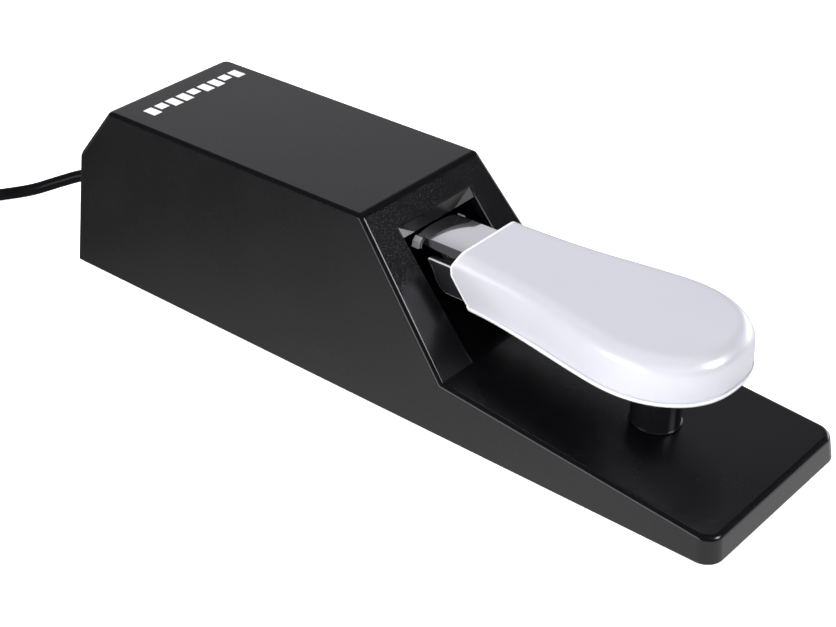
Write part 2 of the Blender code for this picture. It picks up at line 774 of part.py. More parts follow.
def lever_arm(parent):
    places = [LEVER_START, 53 * MM, 62 * MM, 68 * MM, 74 * MM, 80 * MM, 90 * MM, 100 * MM, 120 * MM,
              142 * MM, 147.5 * MM, 153 * MM, 158 * MM, 160 * MM, 190 * MM, LEVER_NOSE_START]
    sections = [lever_section(place) for place in places]
    for step in range(1, 6):
        angle = math.pi / 2 * step / 5.6
        half = LEVER_HALF - 6 * MM * (1 - math.cos(angle))
        sections.append(lever_section(LEVER_NOSE_START + LEVER_NOSE * math.sin(angle), half))
    lever = add_object("lever_arm", loft_shape(sections), chromed_steel())
    mat = chromed_steel()
    hole = turned_shape(plain_drill(BUSH_OUTER + GAP, -20 * MM, 20 * MM),
                        (0, at(PIVOT_PLACE), up(PIVOT_HEIGHT)), "X", 20)
    combine(lever, add_object("hole", hole, mat))
    for place in (CAP_SCREW_REAR, CAP_SCREW_FRONT):
        combine(lever, add_object("drill", cap_boss_drill(place), mat))
    lever.data.set_sharp_from_angle(angle=math.radians(32))
    return ride(lever, parent)


def cap_boss_drill(place):
    """Cuts the clearance hole round one of the cap's bosses."""
    return turned_shape(plain_drill(CAP_BOSS_HOLE, 30 * MM, 60 * MM), (0, at(place), up(0)), segments=16)


def pedal_bracket(parent):
    """Folded bracket under the lever: a web below the bar and a flange down each side."""
    mat = black_steel()
    start, end = 160 * MM, BRACKET_END
    under = [(place, lever_top(place) - 2.9 * MM) for place in (start, end)]
    flange = [(145.4 * MM, 42.9 * MM), (147.0 * MM, 40.6 * MM), (148.6 * MM, 36.8 * MM),
              (150.0 * MM, 34.7 * MM), (152.3 * MM, BRACKET_LOW), (end, BRACKET_LOW), under[1], under[0],
              (158 * MM, BRACKET_TOP), (146.0 * MM, BRACKET_TOP)]
    flanges = []
    for near, far in ((-BRACKET_OUTER, -BRACKET_INNER), (BRACKET_INNER, BRACKET_OUTER)):
        sections = [[(x, at(place), up(height)) for place, height in flange] for x in (near, far)]
        flanges.append(add_object("pedal_bracket", loft_shape(sections), mat))
    bracket, other = flanges
    web_rear = start + 2 * MM
    web = [(web_rear, under[0][1] - 0.1 * MM), under[1], (end, under[1][1] - BRACKET_SHEET),
           (web_rear, under[0][1] - 0.1 * MM - BRACKET_SHEET)]
    combine(bracket, add_object("web", side_prism(web, 11.3 * MM), mat), "UNION")
    combine(bracket, other, "UNION")
    combine(bracket, add_object("drill", cap_boss_drill(CAP_SCREW_REAR), mat))
    bracket.data.set_sharp_from_angle(angle=math.radians(32))
    return ride(bracket, parent)


def neck_pads(parent):
    """Thin pads that lie on the lever's shoulders where it leaves the housing."""
    for side, label in ((-1, "left"), (1, "right")):
        sections = []
        for place in (PAD_REAR, PAD_FRONT):
            (edge_x, edge), (knee_x, knee), _ = shoulder_line(place)
            low = edge - PAD_FALL
            inner = [(edge_x + 0.5 * MM, edge - 0.05 * MM), (knee_x + 0.9 * GAP, knee + 0.5 * GAP),
                     (LEVER_HALF + 0.9 * GAP, low)]
            outer = [(inner[0][0] + PAD_THICK * 1.4, inner[0][1]),
                     (inner[1][0] + PAD_THICK * 0.8, inner[1][1] + PAD_THICK * 0.4),
                     (inner[2][0] + PAD_THICK, low)]
            sections.append([(side * x, at(place), up(height)) for x, height in inner + outer[::-1]])
        ride(add_object("neck_pad_" + label, loft_shape(sections), grey_felt()), parent)


# ---------------------------------------------------------------- pedal cap

def blend(share):
    share = min(max(share, 0.0), 1.0)
    return share * share * (3 - 2 * share)


def cap_half(along):
    """Half width of the cap's rim at a distance from its rear end."""
    swell = blend((along + 4.3 * MM) / (71.7 * MM))
    half = CAP_REAR_HALF + (CAP_FRONT_HALF - CAP_REAR_HALF) * swell
    nose = max(along - CAP_STRAIGHT, 0.0) / (CAP_LENGTH - CAP_STRAIGHT)
    return half * max(1 - nose ** CAP_NOSE_POWER, 0.0) ** (1 / CAP_NOSE_POWER)


def cap_stations(count):
    """Distances from the rear end, closer together towards the nose."""
    half = count // 2
    first = [CAP_STRAIGHT * step / half for step in range(half)]
    last = [CAP_STRAIGHT + (CAP_LENGTH - CAP_STRAIGHT) * math.sin(math.pi / 2 * step / half)
            for step in range(half + 1)]
    return first + last


def cap_profile(depth, bulge):
    """From the lip up the wall and round the top edge, as (inset, height)."""
    wall_top = depth - CAP_EDGE
    edge_start = CAP_LIP + CAP_LEAN * 0.7
    points = [(0.0, 0.0), (CAP_LIP, 0.9 * MM), (CAP_LIP + 0.1 * MM, 1.6 * MM)]
    points += [(CAP_LIP + CAP_LEAN * 0.7 * share, wall_top * share) for share in (0.6, 0.85, 1.0)]
    for step in range(1, 6):
        angle = math.pi / 2 * step / 5
        points.append((edge_start + CAP_EDGE * (1 - math.cos(angle)), wall_top + CAP_EDGE * math.sin(angle)))
    return [(inset - bulge * math.sin(math.pi * height / depth), height) for inset, height in points]


def rear_lean(height):
    """How far the cap's open rear edge reaches back at a height above the rim."""
    share = min(height / CAP_REAR_KNEE, 1.2)
    share -= max(share - 0.8, 0.0) ** 2 / 0.8
    back = 2.5 * MM * blend((height - CAP_REAR_KNEE) / (CAP_REAR_DEPTH - CAP_REAR_KNEE))
    return CAP_REAR_REACH * share - back


def pedal_cap(parent):
    stations = cap_stations(18)
    shape = bmesh.new()
    columns = {-1: [], 1: []}
    for index, along in enumerate(stations):
        depth = CAP_REAR_DEPTH + (CAP_FRONT_DEPTH - CAP_REAR_DEPTH) * along / CAP_LENGTH
        step = 0.05 * MM
        nose = index == len(stations) - 1
        slope = (cap_half(min(along + step, CAP_LENGTH)) - cap_half(along - step)) / (2 * step)
        tilt = math.hypot(slope, 1.0)
        bulge = CAP_BULGE * blend((along - CAP_STRAIGHT / 2) / (CAP_LENGTH * 0.85 - CAP_STRAIGHT / 2))
        for side in (-1, 1):
            if nose and side == 1:
                columns[1].append(columns[-1][-1])
                continue
            column = []
            for inset, height in cap_profile(depth, bulge):
                if nose:
                    local = along - inset
                    half = 0.0
                else:
                    local = along + inset * slope / tilt
                    half = cap_half(along) - inset / tilt
                local -= rear_lean(height) * (1 - blend(along / (22 * MM)))
                column.append(shape.verts.new((side * max(half, 0.0), at(CAP_REAR + local),
                                               up(CAP_RIM_HEIGHT + height))))
            columns[side].append(column)
    for side in (-1, 1):
        for low, high in zip(columns[side], columns[side][1:]):
            for step in range(len(low) - 1):
                shape.faces.new((low[step], low[step + 1], high[step + 1], high[step]))
    for index in range(len(stations) - 1):
        corners = [columns[-1][index][-1], columns[1][index][-1], columns[1][index + 1][-1],
                   columns[-1][index + 1][-1]]
        unique = list(dict.fromkeys(corners))
        shape.faces.new(unique)
    bmesh.ops.recalc_face_normals(shape, faces=shape.faces)
    cap = add_object("pedal_cap", shape, satin_chrome(), 60.0)
    solid = cap.modifiers.new("sheet", "SOLIDIFY")
    solid.thickness = CAP_SHEET
    solid.offset = -1.0
    bpy.context.view_layer.update()
    result = cap.evaluated_get(bpy.context.evaluated_depsgraph_get())
    mesh = bpy.data.meshes.new_from_object(result)
    cap.modifiers.remove(solid)
    cap.data = mesh
    for place in (CAP_SCREW_REAR, CAP_SCREW_FRONT):
        top = lever_top(place)
        boss = turned_shape(plain_drill(CAP_BOSS_RADIUS, top - 2.6 * MM, top + CAP_BOSS_STAND),
                            (0, at(place), up(0)), segments=16)
        combine(cap, add_object("boss", boss, satin_chrome()), "UNION")
        drill = turned_shape(plain_drill(CAP_PILOT_RADIUS, 30 * MM, top - 0.2 * MM),
                             (0, at(place), up(0)), segments=12)
        combine(cap, add_object("drill", drill, satin_chrome()))
    cap.data.set_sharp_from_angle(angle=math.radians(40))
    return ride(cap, parent)


def pedal_screws(parent):
    places = ((CAP_SCREW_REAR, "rear", BRACKET_SHEET + GAP), (CAP_SCREW_FRONT, "front", GAP))
    for place, label, extra in places:
        seat = lever_top(place) - 3.0 * MM - extra
        item = screw("pedal_screw_" + label, (0, at(place), up(seat)), 4.0 * MM, 1.1 * MM,
                     lever_top(place) - 0.6 * MM - seat, zinc_steel())
        ride(item, parent)


# ---------------------------------------------------------------- spring and stops

def return_spring():
    """Compression spring with closed end turns."""
    radius, wire, turns = SPRING_RADIUS, SPRING_WIRE, SPRING_TURNS
    low = SPRING_LOW + wire + 0.1 * MM
    high = SPRING_HIGH - wire - 0.1 * MM
    per_turn = 16
    count = int(turns * per_turn)
    points = []
    for step in range(count + 1):
        turn = step / per_turn
        share = min(max((turn - 1.0) / (turns - 2.0), 0.0), 1.0)
        closed = 1.8 * wire
        rise = low + closed * min(turn, 1.0) + closed * max(turn - turns + 1.0, 0.0) \
            + (high - low - 2 * closed) * share
        angle = 2 * math.pi * turn
        points.append((radius * math.cos(angle), at(SPRING_PLACE) + radius * math.sin(angle), up(rise)))
    add_object("return_spring", sweep_shape(points, wire, 5), zinc_steel(), 50)


def spring_ends(parent):
    seat = [(0, 3.3), (7.6, 3.3), (7.6, 7.2), (6.7, 7.2), (6.7, 6.1), (3.9, 6.1), (3.9, 8.6), (3.2, 9.4),
            (0, 9.4)]
    turned("spring_seat", [(radius * MM, height * MM) for radius, height in seat],
           (0, at(SPRING_PLACE), up(0)), white_nylon())
    cap = [(0, 39.6), (2.2, 39.6), (2.9, 40.4), (2.9, 43.3), (6.6, 43.3), (6.6, 45.2), (0, 45.2)]
    ride(turned("spring_cap", [(radius * MM, height * MM) for radius, height in cap],
                (0, at(SPRING_PLACE), up(0)), white_nylon()), parent)


def stops():
    box("up_stop_felt", (-9 * MM, 9 * MM), (at(129 * MM), at(118 * MM)), (up(48.1 * MM), up(50.8 * MM)),
        grey_felt(), 0.3 * MM)
    place = (0, at(POST_PLACE), up(0))
    fall = (TONGUE_REAR_HEIGHT - TONGUE_FRONT_HEIGHT) / (LENGTH - SLOPE_FOOT)
    low = TONGUE_REAR_HEIGHT - fall * (POST_PLACE - SLOPE_FOOT)
    post = turned_shape([(0, low), (POST_RADIUS, low), (POST_RADIUS, POST_TOP - 0.5 * MM),
                         (POST_RADIUS - 0.5 * MM, POST_TOP), (0, POST_TOP)], place, segments=40)
    for vert in post.verts:
        if vert.co.z < up(low + 0.1 * MM):
            vert.co.z = up(low + (vert.co.y - at(POST_PLACE)) * fall + GAP)
    item = add_object("stop_post", post, black_plastic())
    drill = turned_shape(plain_drill(1.5 * MM, 5 * MM, POST_TOP - 2.1 * MM), place, segments=12)
    combine(item, add_object("drill", drill, black_plastic()))
    item.data.set_sharp_from_angle(angle=math.radians(32))
    screw("post_screw", (0, at(POST_PLACE), up(6.2 * MM)), 2.9 * MM, 1.2 * MM, 11 * MM, zinc_steel())
    bumper = [(0, POST_TOP + GAP), (POST_RADIUS - 0.4 * MM, POST_TOP + GAP),
              (POST_RADIUS - 0.4 * MM, BUMPER_TOP - 1 * MM), (POST_RADIUS - 1.4 * MM, BUMPER_TOP),
              (0, BUMPER_TOP)]
    turned("stop_bumper", bumper, place, black_rubber(), segments=32)


# ---------------------------------------------------------------- switch, board, cable

def micro_switch():
    mat = black_plastic()
    length = (at(SWITCH_PLACE + SWITCH_HALF_LENGTH), at(SWITCH_PLACE - SWITCH_HALF_LENGTH))
    body = box("switch_body", (-SWITCH_HALF_WIDTH, SWITCH_HALF_WIDTH), length,
               (up(SWITCH_TOP - SWITCH_HEIGHT), up(SWITCH_TOP)), mat, 0.3 * MM)
    drill = box_shape((-1.4 * MM, 1.4 * MM), (at(SWITCH_PLACE) - 1.8 * MM, at(SWITCH_PLACE) + 1.8 * MM),
                      (up(SWITCH_TOP - 4.6 * MM), up(SWITCH_TOP + 1 * MM)))
    combine(body, add_object("well", drill, mat))
    foot_top = FIXING_LEVEL + HOLDER_SHEET
    holder = box_shape((HOLDER_NEAR, HOLDER_NEAR + HOLDER_SHEET), length, (up(FIXING_LEVEL), up(HOLDER_TOP)))
    holder = add_object("switch_bracket", holder, zinc_steel())
    foot = box_shape((HOLDER_NEAR, HOLDER_FAR), length, (up(FIXING_LEVEL), up(foot_top)))
    combine(holder, add_object("foot", foot, zinc_steel()), "UNION")
    for offset, label in ((-SWITCH_HOLE_OFFSET, "rear"), (SWITCH_HOLE_OFFSET, "front")):
        centre = (0, at(SWITCH_PLACE + offset), up(SWITCH_TOP - SWITCH_HOLE_DROP))
        for item in (body, holder):
            hole = turned_shape(plain_drill(SWITCH_HOLE_RADIUS, -9 * MM, 9 * MM), centre, "X", 12)
            combine(item, add_object("hole", hole, zinc_steel()))
        screw("switch_screw_" + label, (-SWITCH_HALF_WIDTH - GAP, centre[1], centre[2]), 1.9 * MM, 0.9 * MM,
              8.2 * MM, zinc_steel(), "X")
    for (x, place), label in zip(holder_screw_places(), ("rear", "front")):
        drill = turned_shape(plain_drill(1.6 * MM, 0, 9 * MM), (x, at(place), up(0)), segments=12)
        combine(holder, add_object("drill", drill, zinc_steel()))
        screw("bracket_screw_" + label, (x, at(place), up(foot_top + GAP)), 2.4 * MM, 1.0 * MM, 3.4 * MM,
              zinc_steel(), sign=-1)
    for item in (body, holder):
        item.data.set_sharp_from_angle(angle=math.radians(32))

    slider = joint_empty("plunger_travel", (0, at(SWITCH_PLACE), up(SWITCH_TOP)))
    plunger = box("switch_plunger", (-1.1 * MM, 1.1 * MM),
                  (at(SWITCH_PLACE) - 1.5 * MM, at(SWITCH_PLACE) + 1.5 * MM),
                  (up(SWITCH_TOP - 1.0 * MM), up(PLUNGER_TOP)), red_plastic(), 0.3 * MM)
    ride(plunger, slider)


def polarity_switch():
    mat = zinc_steel()
    board_low = POLARITY_TOP + GAP
    box("circuit_board", (-12 * MM, 12 * MM), (at(39.5 * MM), at(23 * MM)),
        (up(board_low), up(board_low + BOARD_THICK)), board_green())
    place = at(POLARITY_PLACE)
    body = box("polarity_switch", (-6.0 * MM, 6.0 * MM), (place - 3.5 * MM, place + 3.5 * MM),
               (up(FIXING_LEVEL), up(POLARITY_TOP)), mat, 0.25 * MM)
    well = box_shape((-3.6 * MM, 3.6 * MM), (place - 1.4 * MM, place + 1.4 * MM), (up(2 * MM), up(5.4 * MM)))
    combine(body, add_object("well", well, mat))
    body.data.set_sharp_from_angle(angle=math.radians(32))
    middle = -POLARITY_TRAVEL / 2
    slider = joint_empty("polarity_travel", (middle, place, up(3.0 * MM)))
    knob = box("polarity_knob", (middle - 1.6 * MM, middle + 1.6 * MM), (place - 1.0 * MM, place + 1.0 * MM),
               (up(1.0 * MM), up(5.0 * MM)), white_nylon(), 0.2 * MM)
    ride(knob, slider)


def cable_path():
    """From inside the housing, out at the rear, down to the floor and away to the left."""
    floor = CABLE_RADIUS - FOOT_PROUD
    exits = CABLE_EXIT_HEIGHT
    points = [(0.0, 20.0, exits), (0.0, 12.0, exits), (0.0, 3.0, exits), (0.0, -12.0, exits),
              (-1.2, -22.0, exits - 1.2 * MM), (-4.0, -31.3, exits - 4.0 * MM),
              (-8.0, -39.0, exits - 7.2 * MM), (-14.0, -48.5, exits - 11.2 * MM),
              (-21.7, -56.9, floor + 0.5 * MM), (-31.0, -64.8, floor + 0.15 * MM), (-42.0, -71.8, floor),
              (-54.0, -76.8, floor), (-66.0, -79.4, floor), (-76.0, -80.2, floor + 1.2 * MM),
              (-84.0, -80.2, PLUG_HEIGHT - 0.4 * MM), (-96.0, -80.2, PLUG_HEIGHT)]
    return [(x * MM, at(distance * MM), up(height)) for x, distance, height in points]


def cable_and_plug():
    add_object("cable", sweep_shape(smooth_path(cable_path(), 4), CABLE_RADIUS, 10), black_rubber(), 60)
    inner = CABLE_RADIUS + GAP
    outline = [(inner, -6.4), (6.2, -6.4), (6.2, -4.85), (4.1, -4.85), (4.1, -0.45), (5.6, -0.45),
               (5.6, 0.8), (4.2, 1.6), (3.7, 6.0), (3.2, 11.0), (inner, 11.0)]
    outline = [(radius if radius == inner else radius * MM, height * MM) for radius, height in outline]
    relief = tube_shape(outline, (0, at(0), up(CABLE_EXIT_HEIGHT)), "Y", 24)
    add_object("strain_relief", relief, black_rubber())

    mat = white_nylon()
    low = CABLE_EXIT_HEIGHT + CABLE_RADIUS + GAP
    high = low + CLAMP_SHEET
    length = (at(CLAMP_PLACE + 3 * MM), at(CLAMP_PLACE - 3 * MM))
    inner_x, outer_x = CLAMP_SCREW_X - 3 * MM, CLAMP_SCREW_X + 3 * MM
    clamp = add_object("cable_clamp", box_shape((-4.5 * MM, outer_x), length, (up(low), up(high))), mat)
    leg = box_shape((inner_x, outer_x), length, (up(FIXING_LEVEL), up(low + 0.5 * MM)))
    combine(clamp, add_object("leg", leg, mat), "UNION")
    drill = turned_shape(plain_drill(1.4 * MM, 2 * MM, 30 * MM), (CLAMP_SCREW_X, at(CLAMP_PLACE), up(0)),
                         segments=12)
    combine(clamp, add_object("drill", drill, mat))
    clamp.data.set_sharp_from_angle(angle=math.radians(32))
    seat = high + GAP
    screw("clamp_screw", (CLAMP_SCREW_X, at(CLAMP_PLACE), up(seat)), 2.4 * MM, 1.0 * MM, seat - 1.7 * MM,
          zinc_steel(), sign=-1)
    jack_plug()


def jack_plug():
    """Quarter-inch plug lying on the floor, pointing to the left."""
    centre = (PLUG_X, at(PLUG_PLACE), up(PLUG_HEIGHT))
    bore = CABLE_RADIUS + GAP

    def along(points):
        return [(radius * MM, -height * MM) for radius, height in points]

    handle = along([(bore / MM, -2.0), (3.1, -2.0), (3.6, 4.0), (4.9, 6.0), (5.3, 8.0), (5.3, 31.0),
                    (4.9, 32.0), (2.3, 32.0), (2.3, 22.0), (bore / MM, 22.0)])
    add_object("plug_handle", tube_shape(handle, centre, "X", 28), black_rubber())
    sleeve = along([(0, 24.0), (2.0, 24.0), (2.0, 32.3), (4.4, 32.3), (4.4, 33.6), (3.17, 33.6),
                    (3.17, 54.0), (0, 54.0)])
    turned("plug_sleeve", sleeve, centre, zinc_steel(), "X", 24)
    ring = along([(0, 54.3), (3.1, 54.3), (3.1, 55.1), (0, 55.1)])
    turned("plug_ring", ring, centre, black_plastic(), "X", 24)
    tip = along([(0, 55.4), (3.17, 55.4), (3.17, 57.4), (2.2, 58.4), (3.0, 60.4), (2.9, 61.6),
                 (1.2, 63.6), (0, 64.0)])
    turned("plug_tip", tip, centre, zinc_steel(), "X", 24)


def build():
    clear_scene()
    upper_housing()
    bottom_plate()
    feet()
    bottom_screws()
    pivot_frame()
    pivot_pin()
    hinge = joint_empty("pedal_hinge", (0, at(PIVOT_PLACE), up(PIVOT_HEIGHT)))
    pivot_bushes(hinge)
    lever_arm(hinge)
    pedal_bracket(hinge)
    neck_pads(hinge)
    pedal_cap(hinge)
    pedal_screws(hinge)
    return_spring()
    spring_ends(hinge)
    stops()
    micro_switch()
    polarity_switch()
    cable_and_plug()


build()
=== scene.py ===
"""Looks of the sustain pedal: finished surfaces, materials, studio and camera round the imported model."""

import json
import math

import bmesh
import bpy
from mathutils import Matrix, Vector


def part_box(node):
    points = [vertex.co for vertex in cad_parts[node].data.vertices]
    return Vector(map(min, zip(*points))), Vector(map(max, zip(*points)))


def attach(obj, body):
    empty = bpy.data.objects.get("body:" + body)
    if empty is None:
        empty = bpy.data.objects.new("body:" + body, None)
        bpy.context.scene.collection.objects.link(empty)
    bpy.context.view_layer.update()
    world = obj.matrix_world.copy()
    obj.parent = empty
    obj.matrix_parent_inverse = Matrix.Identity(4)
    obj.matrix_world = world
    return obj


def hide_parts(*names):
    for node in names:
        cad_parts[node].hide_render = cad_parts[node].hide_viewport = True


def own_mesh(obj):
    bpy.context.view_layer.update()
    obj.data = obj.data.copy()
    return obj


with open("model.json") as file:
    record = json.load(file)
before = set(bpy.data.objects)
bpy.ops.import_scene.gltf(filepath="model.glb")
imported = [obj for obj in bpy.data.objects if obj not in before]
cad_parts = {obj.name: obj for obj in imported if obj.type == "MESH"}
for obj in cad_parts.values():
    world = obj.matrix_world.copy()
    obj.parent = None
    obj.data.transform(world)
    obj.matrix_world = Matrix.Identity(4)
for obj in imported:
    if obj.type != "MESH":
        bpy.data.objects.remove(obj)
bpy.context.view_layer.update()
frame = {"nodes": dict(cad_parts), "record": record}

MM = 0.001

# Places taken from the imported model
HOUSING_LOW, HOUSING_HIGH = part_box("upper_housing")
REAR = HOUSING_HIGH.y
LENGTH = HOUSING_HIGH.y - HOUSING_LOW.y
WIDTH = HOUSING_HIGH.x - HOUSING_LOW.x
HEIGHT = HOUSING_HIGH.z - HOUSING_LOW.z
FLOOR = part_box("rubber_foot_front_left")[0].z

# Housing, as distances from the rear wall and heights above the housing's lower edge
DRAFT = 0.104
REAR_WALL_TOP = 40.3 * MM
TOP_START = 20.3 * MM
TOP_END = 133.0 * MM
SLOPE_FOOT = 166.4 * MM
TONGUE_REAR_HEIGHT = 17.15 * MM
TONGUE_FRONT_HEIGHT = 7.96 * MM
WALL = 2.4 * MM
EDGE_ROUND = 1.5 * MM
CORNER_ROUND = 5.2 * MM
REAR_ROUND = 2.2 * MM
OUTLET_RADIUS = 4.4 * MM
GAP = 0.3 * MM

# Opening in the sloping front
OPENING_HALF = 16.35 * MM
OPENING_SHOULDER_HEIGHT = 50.2 * MM
OPENING_TOP_HEIGHT = 52.8 * MM
LIP_HALF = 8.9 * MM
LIP_HEIGHT = 48.2 * MM
LIP_PLACE = 138.2 * MM
OPENING_ROUND = 0.4 * MM
LIP_BLOCK_REAR = 135.4 * MM
LIP_BLOCK_TOP = 54.5 * MM
LIP_BLOCK_HALF = 19.0 * MM

# Lever
LEVER_BEND = 158.7 * MM
LEVER_FALL = 0.0438
LEVER_NOSE = 14.0 * MM
BUSH_HOLE = 4.1 * MM
SHOULDER_WIDE = 2.0 * MM
SHOULDER_DEEP = 4.6 * MM
SHOULDER_KNEE = 2.0 * MM
SHOULDER_ROUND = 0.14 * MM
LEVER_CROWN = 0.5 * MM
LEVER_SHEET = 2.0 * MM
PAD_THICK = 0.5 * MM
EAR_DEPTH = 24.0 * MM

# Bracket under the lever
BRACKET_INNER = 10.7 * MM
BRACKET_LOW = 33.4 * MM
BRACKET_TOP = 43.4 * MM
BRACKET_END = 200.0 * MM
BRACKET_SHEET = 1.3 * MM
BRACKET_TRIM = 0.36 * MM

# Pedal cap
CAP_REAR = 164.0 * MM
CAP_LENGTH = 82.1 * MM
CAP_REAR_HALF = 15.2 * MM
CAP_FRONT_HALF = 24.6 * MM
CAP_REAR_DEPTH = 16.4 * MM
CAP_FRONT_DEPTH = 13.4 * MM
CAP_SHEET = 1.4 * MM
CAP_EDGE = 4.5 * MM
CAP_LIP = 0.7 * MM
CAP_BULGE = 1.0 * MM
CAP_REAR_REACH = 7.8 * MM
CAP_REAR_KNEE = 9.9 * MM
CAP_NOSE_POWER = 2.446
CAP_STRAIGHT = 47.2 * MM
CAP_RIM = 0.9 * MM
CAP_LIP_STEPS = 5

# Printed mark
MARK_PLACE = 32.0 * MM
MARK_TALL = 5.6 * MM
MARK_BAR = 3.4 * MM
MARK_STEP = 4.7 * MM
MARK_BARS = 9
MARK_SHIFT = 1.5 * MM

# Smaller pieces
SPRING_WIRE = 0.8 * MM
SPRING_TURNS = 8.5
SCREW_SHANK = 1.35 * MM
CABLE_RADIUS = 2.2 * MM

# Looks and camera
CAP_METAL = 0.35
SPARKS_LOW = 22.0 * MM              # the slope's sparks fade in between these two heights
SPARKS_HIGH = 40.0 * MM
PLASTIC_DEEP = (0.0018, 0.0018, 0.0023)
PLASTIC_PALE = (0.0030, 0.0030, 0.0036)
FLOOR_GLOW = 0.35
CAMERA_ANGLES = (-47.754, 32.197, -1.891)       # azimuth, elevation and roll in degrees
CAMERA_AIM_SHIFT = -0.55 * MM
CAMERA_AIM_HEIGHT = 13.85 * MM
CAMERA_DISTANCE = 539.1 * MM
CAMERA_LENS = 73.83
SLOPE_NORMAL = Vector((0.0, -(HEIGHT - TONGUE_REAR_HEIGHT), SLOPE_FOOT - TOP_END)).normalized()


def at(distance):
    """Frame Y of a place given as its distance from the housing's rear wall."""
    return REAR - distance


def up(height):
    """Frame Z of a height above the housing's lower edge."""
    return HOUSING_LOW.z + height


def middle(node):
    low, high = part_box(node)
    return (low + high) / 2


def smooth_share(share):
    share = min(max(share, 0.0), 1.0)
    return share * share * (3 - 2 * share)


# ---- materials

class Nodes:
    """A small helper that builds a node tree step by step."""

    def __init__(self, tree):
        self.tree = tree

    def node(self, kind, **settings):
        item = self.tree.nodes.new(kind)
        for key, value in settings.items():
            setattr(item, key, value)
        return item

    def link(self, source, target):
        self.tree.links.new(source, target)

    def put(self, target, value):
        """Set an input to a number or colour, or link a socket to it."""
        if isinstance(value, bpy.types.NodeSocket):
            self.link(value, target)
        else:
            target.default_value = value

    def math(self, operation, first, second):
        item = self.node("ShaderNodeMath", operation=operation)
        self.put(item.inputs[0], first)
        self.put(item.inputs[1], second)
        return item.outputs[0]

    def spread(self, value, low, high, start=0.3, end=0.7, ramp="LINEAR"):
        """Map a value from start..end, by default a texture's usual range, to low..high."""
        item = self.node("ShaderNodeMapRange", interpolation_type=ramp)
        item.inputs["From Min"].default_value = start
        item.inputs["From Max"].default_value = end
        item.inputs["To Min"].default_value = low
        item.inputs["To Max"].default_value = high
        self.put(item.inputs["Value"], value)
        return item.outputs["Result"]

    def dot(self, vector, direction):
        item = self.node("ShaderNodeVectorMath", operation="DOT_PRODUCT")
        self.link(vector, item.inputs[0])
        item.inputs[1].default_value = direction
        return item.outputs["Value"]


class Paint(Nodes):
    """A material and the textures that drive it."""

    def __init__(self, name):
        self.material = bpy.data.materials.new(name)
        self.material.use_nodes = True
        super().__init__(self.material.node_tree)
        self.shader = self.tree.nodes["Principled BSDF"]
        self.place = self.node("ShaderNodeTexCoord").outputs["Object"]

    def set(self, name, value):
        self.put(self.shader.inputs[name], value)

    def noise(self, scale, detail=3.0, stretch=None, distortion=0.0):
        item = self.node("ShaderNodeTexNoise")
        item.inputs["Scale"].default_value = scale
        item.inputs["Detail"].default_value = detail
        item.inputs["Distortion"].default_value = distortion
        source = self.place
        if stretch:
            scaled = self.node("ShaderNodeMapping")
            scaled.inputs["Scale"].default_value = stretch
            self.link(self.place, scaled.inputs["Vector"])
            source = scaled.outputs["Vector"]
        self.link(source, item.inputs["Vector"])
        return item.outputs["Fac"]

    def cells(self, scale, feature="F1"):
        item = self.node("ShaderNodeTexVoronoi", feature=feature)
        item.inputs["Scale"].default_value = scale
        self.link(self.place, item.inputs["Vector"])
        return item.outputs["Distance"]

    def coordinate(self, axis):
        """The shaded point's X, Y or Z in the part's frame."""
        item = self.node("ShaderNodeSeparateXYZ")
        self.link(self.place, item.inputs[0])
        return item.outputs[axis]

    def mix(self, share, first, second):
        item = self.node("ShaderNodeMix", data_type="RGBA")
        self.put(item.inputs["Factor"], share)
        for socket, value in ((item.inputs[6], first), (item.inputs[7], second)):
            self.put(socket, (*value, 1.0) if isinstance(value, tuple) else value)
        return item.outputs[2]

    def facing(self, direction, start, end):
        """1 where the surface's own normal points along a direction, 0 elsewhere."""
        normal = self.node("ShaderNodeNewGeometry").outputs["True Normal"]
        return self.spread(self.dot(normal, direction), 0.0, 1.0, start, end)

    def bump(self, height, distance, strength=1.0, under=None, round_edges=0.0):
        item = self.node("ShaderNodeBump")
        item.inputs["Distance"].default_value = distance
        self.put(item.inputs["Strength"], strength)
        self.link(height, item.inputs["Height"])
        if under is not None:
            self.link(under, item.inputs["Normal"])
        elif round_edges:
            rounded = self.node("ShaderNodeBevel", samples=6)
            rounded.inputs["Radius"].default_value = round_edges
            self.link(rounded.outputs["Normal"], item.inputs["Normal"])
        return item.outputs["Normal"]


def black_plastic():
    """Satin moulded plastic. The sloping front carries a coarser spark grain than the other faces."""
    paint = Paint("black_plastic")
    slope = paint.facing(SLOPE_NORMAL, 0.97, 0.995)
    cloud = paint.noise(34, 3.0)
    grain = paint.noise(2600, 2.0)
    fading = paint.spread(paint.coordinate("Z"), 0.12, 1.0, SPARKS_LOW, SPARKS_HIGH)
    patches = paint.math("MULTIPLY", paint.spread(paint.noise(60, 2.0), 0.35, 1.0, 0.40, 0.62), fading)
    pits = paint.math("MULTIPLY", paint.spread(paint.cells(1700), 1.0, 0.0, 0.10, 0.42), patches)
    pits = paint.math("MULTIPLY", pits, slope)
    rough = paint.spread(cloud, 0.25, 0.30)
    paint.set("Roughness", paint.math("SUBTRACT", rough, paint.math("MULTIPLY", slope, 0.07)))
    base = paint.mix(paint.spread(cloud, 0.0, 1.0), PLASTIC_DEEP, PLASTIC_PALE)
    paint.set("Base Color", paint.mix(pits, base, (0.030, 0.030, 0.034)))
    fine = paint.bump(grain, 0.02 * MM, 0.2)
    paint.set("Normal", paint.bump(pits, 0.05 * MM, 0.18, under=fine))
    return paint.material


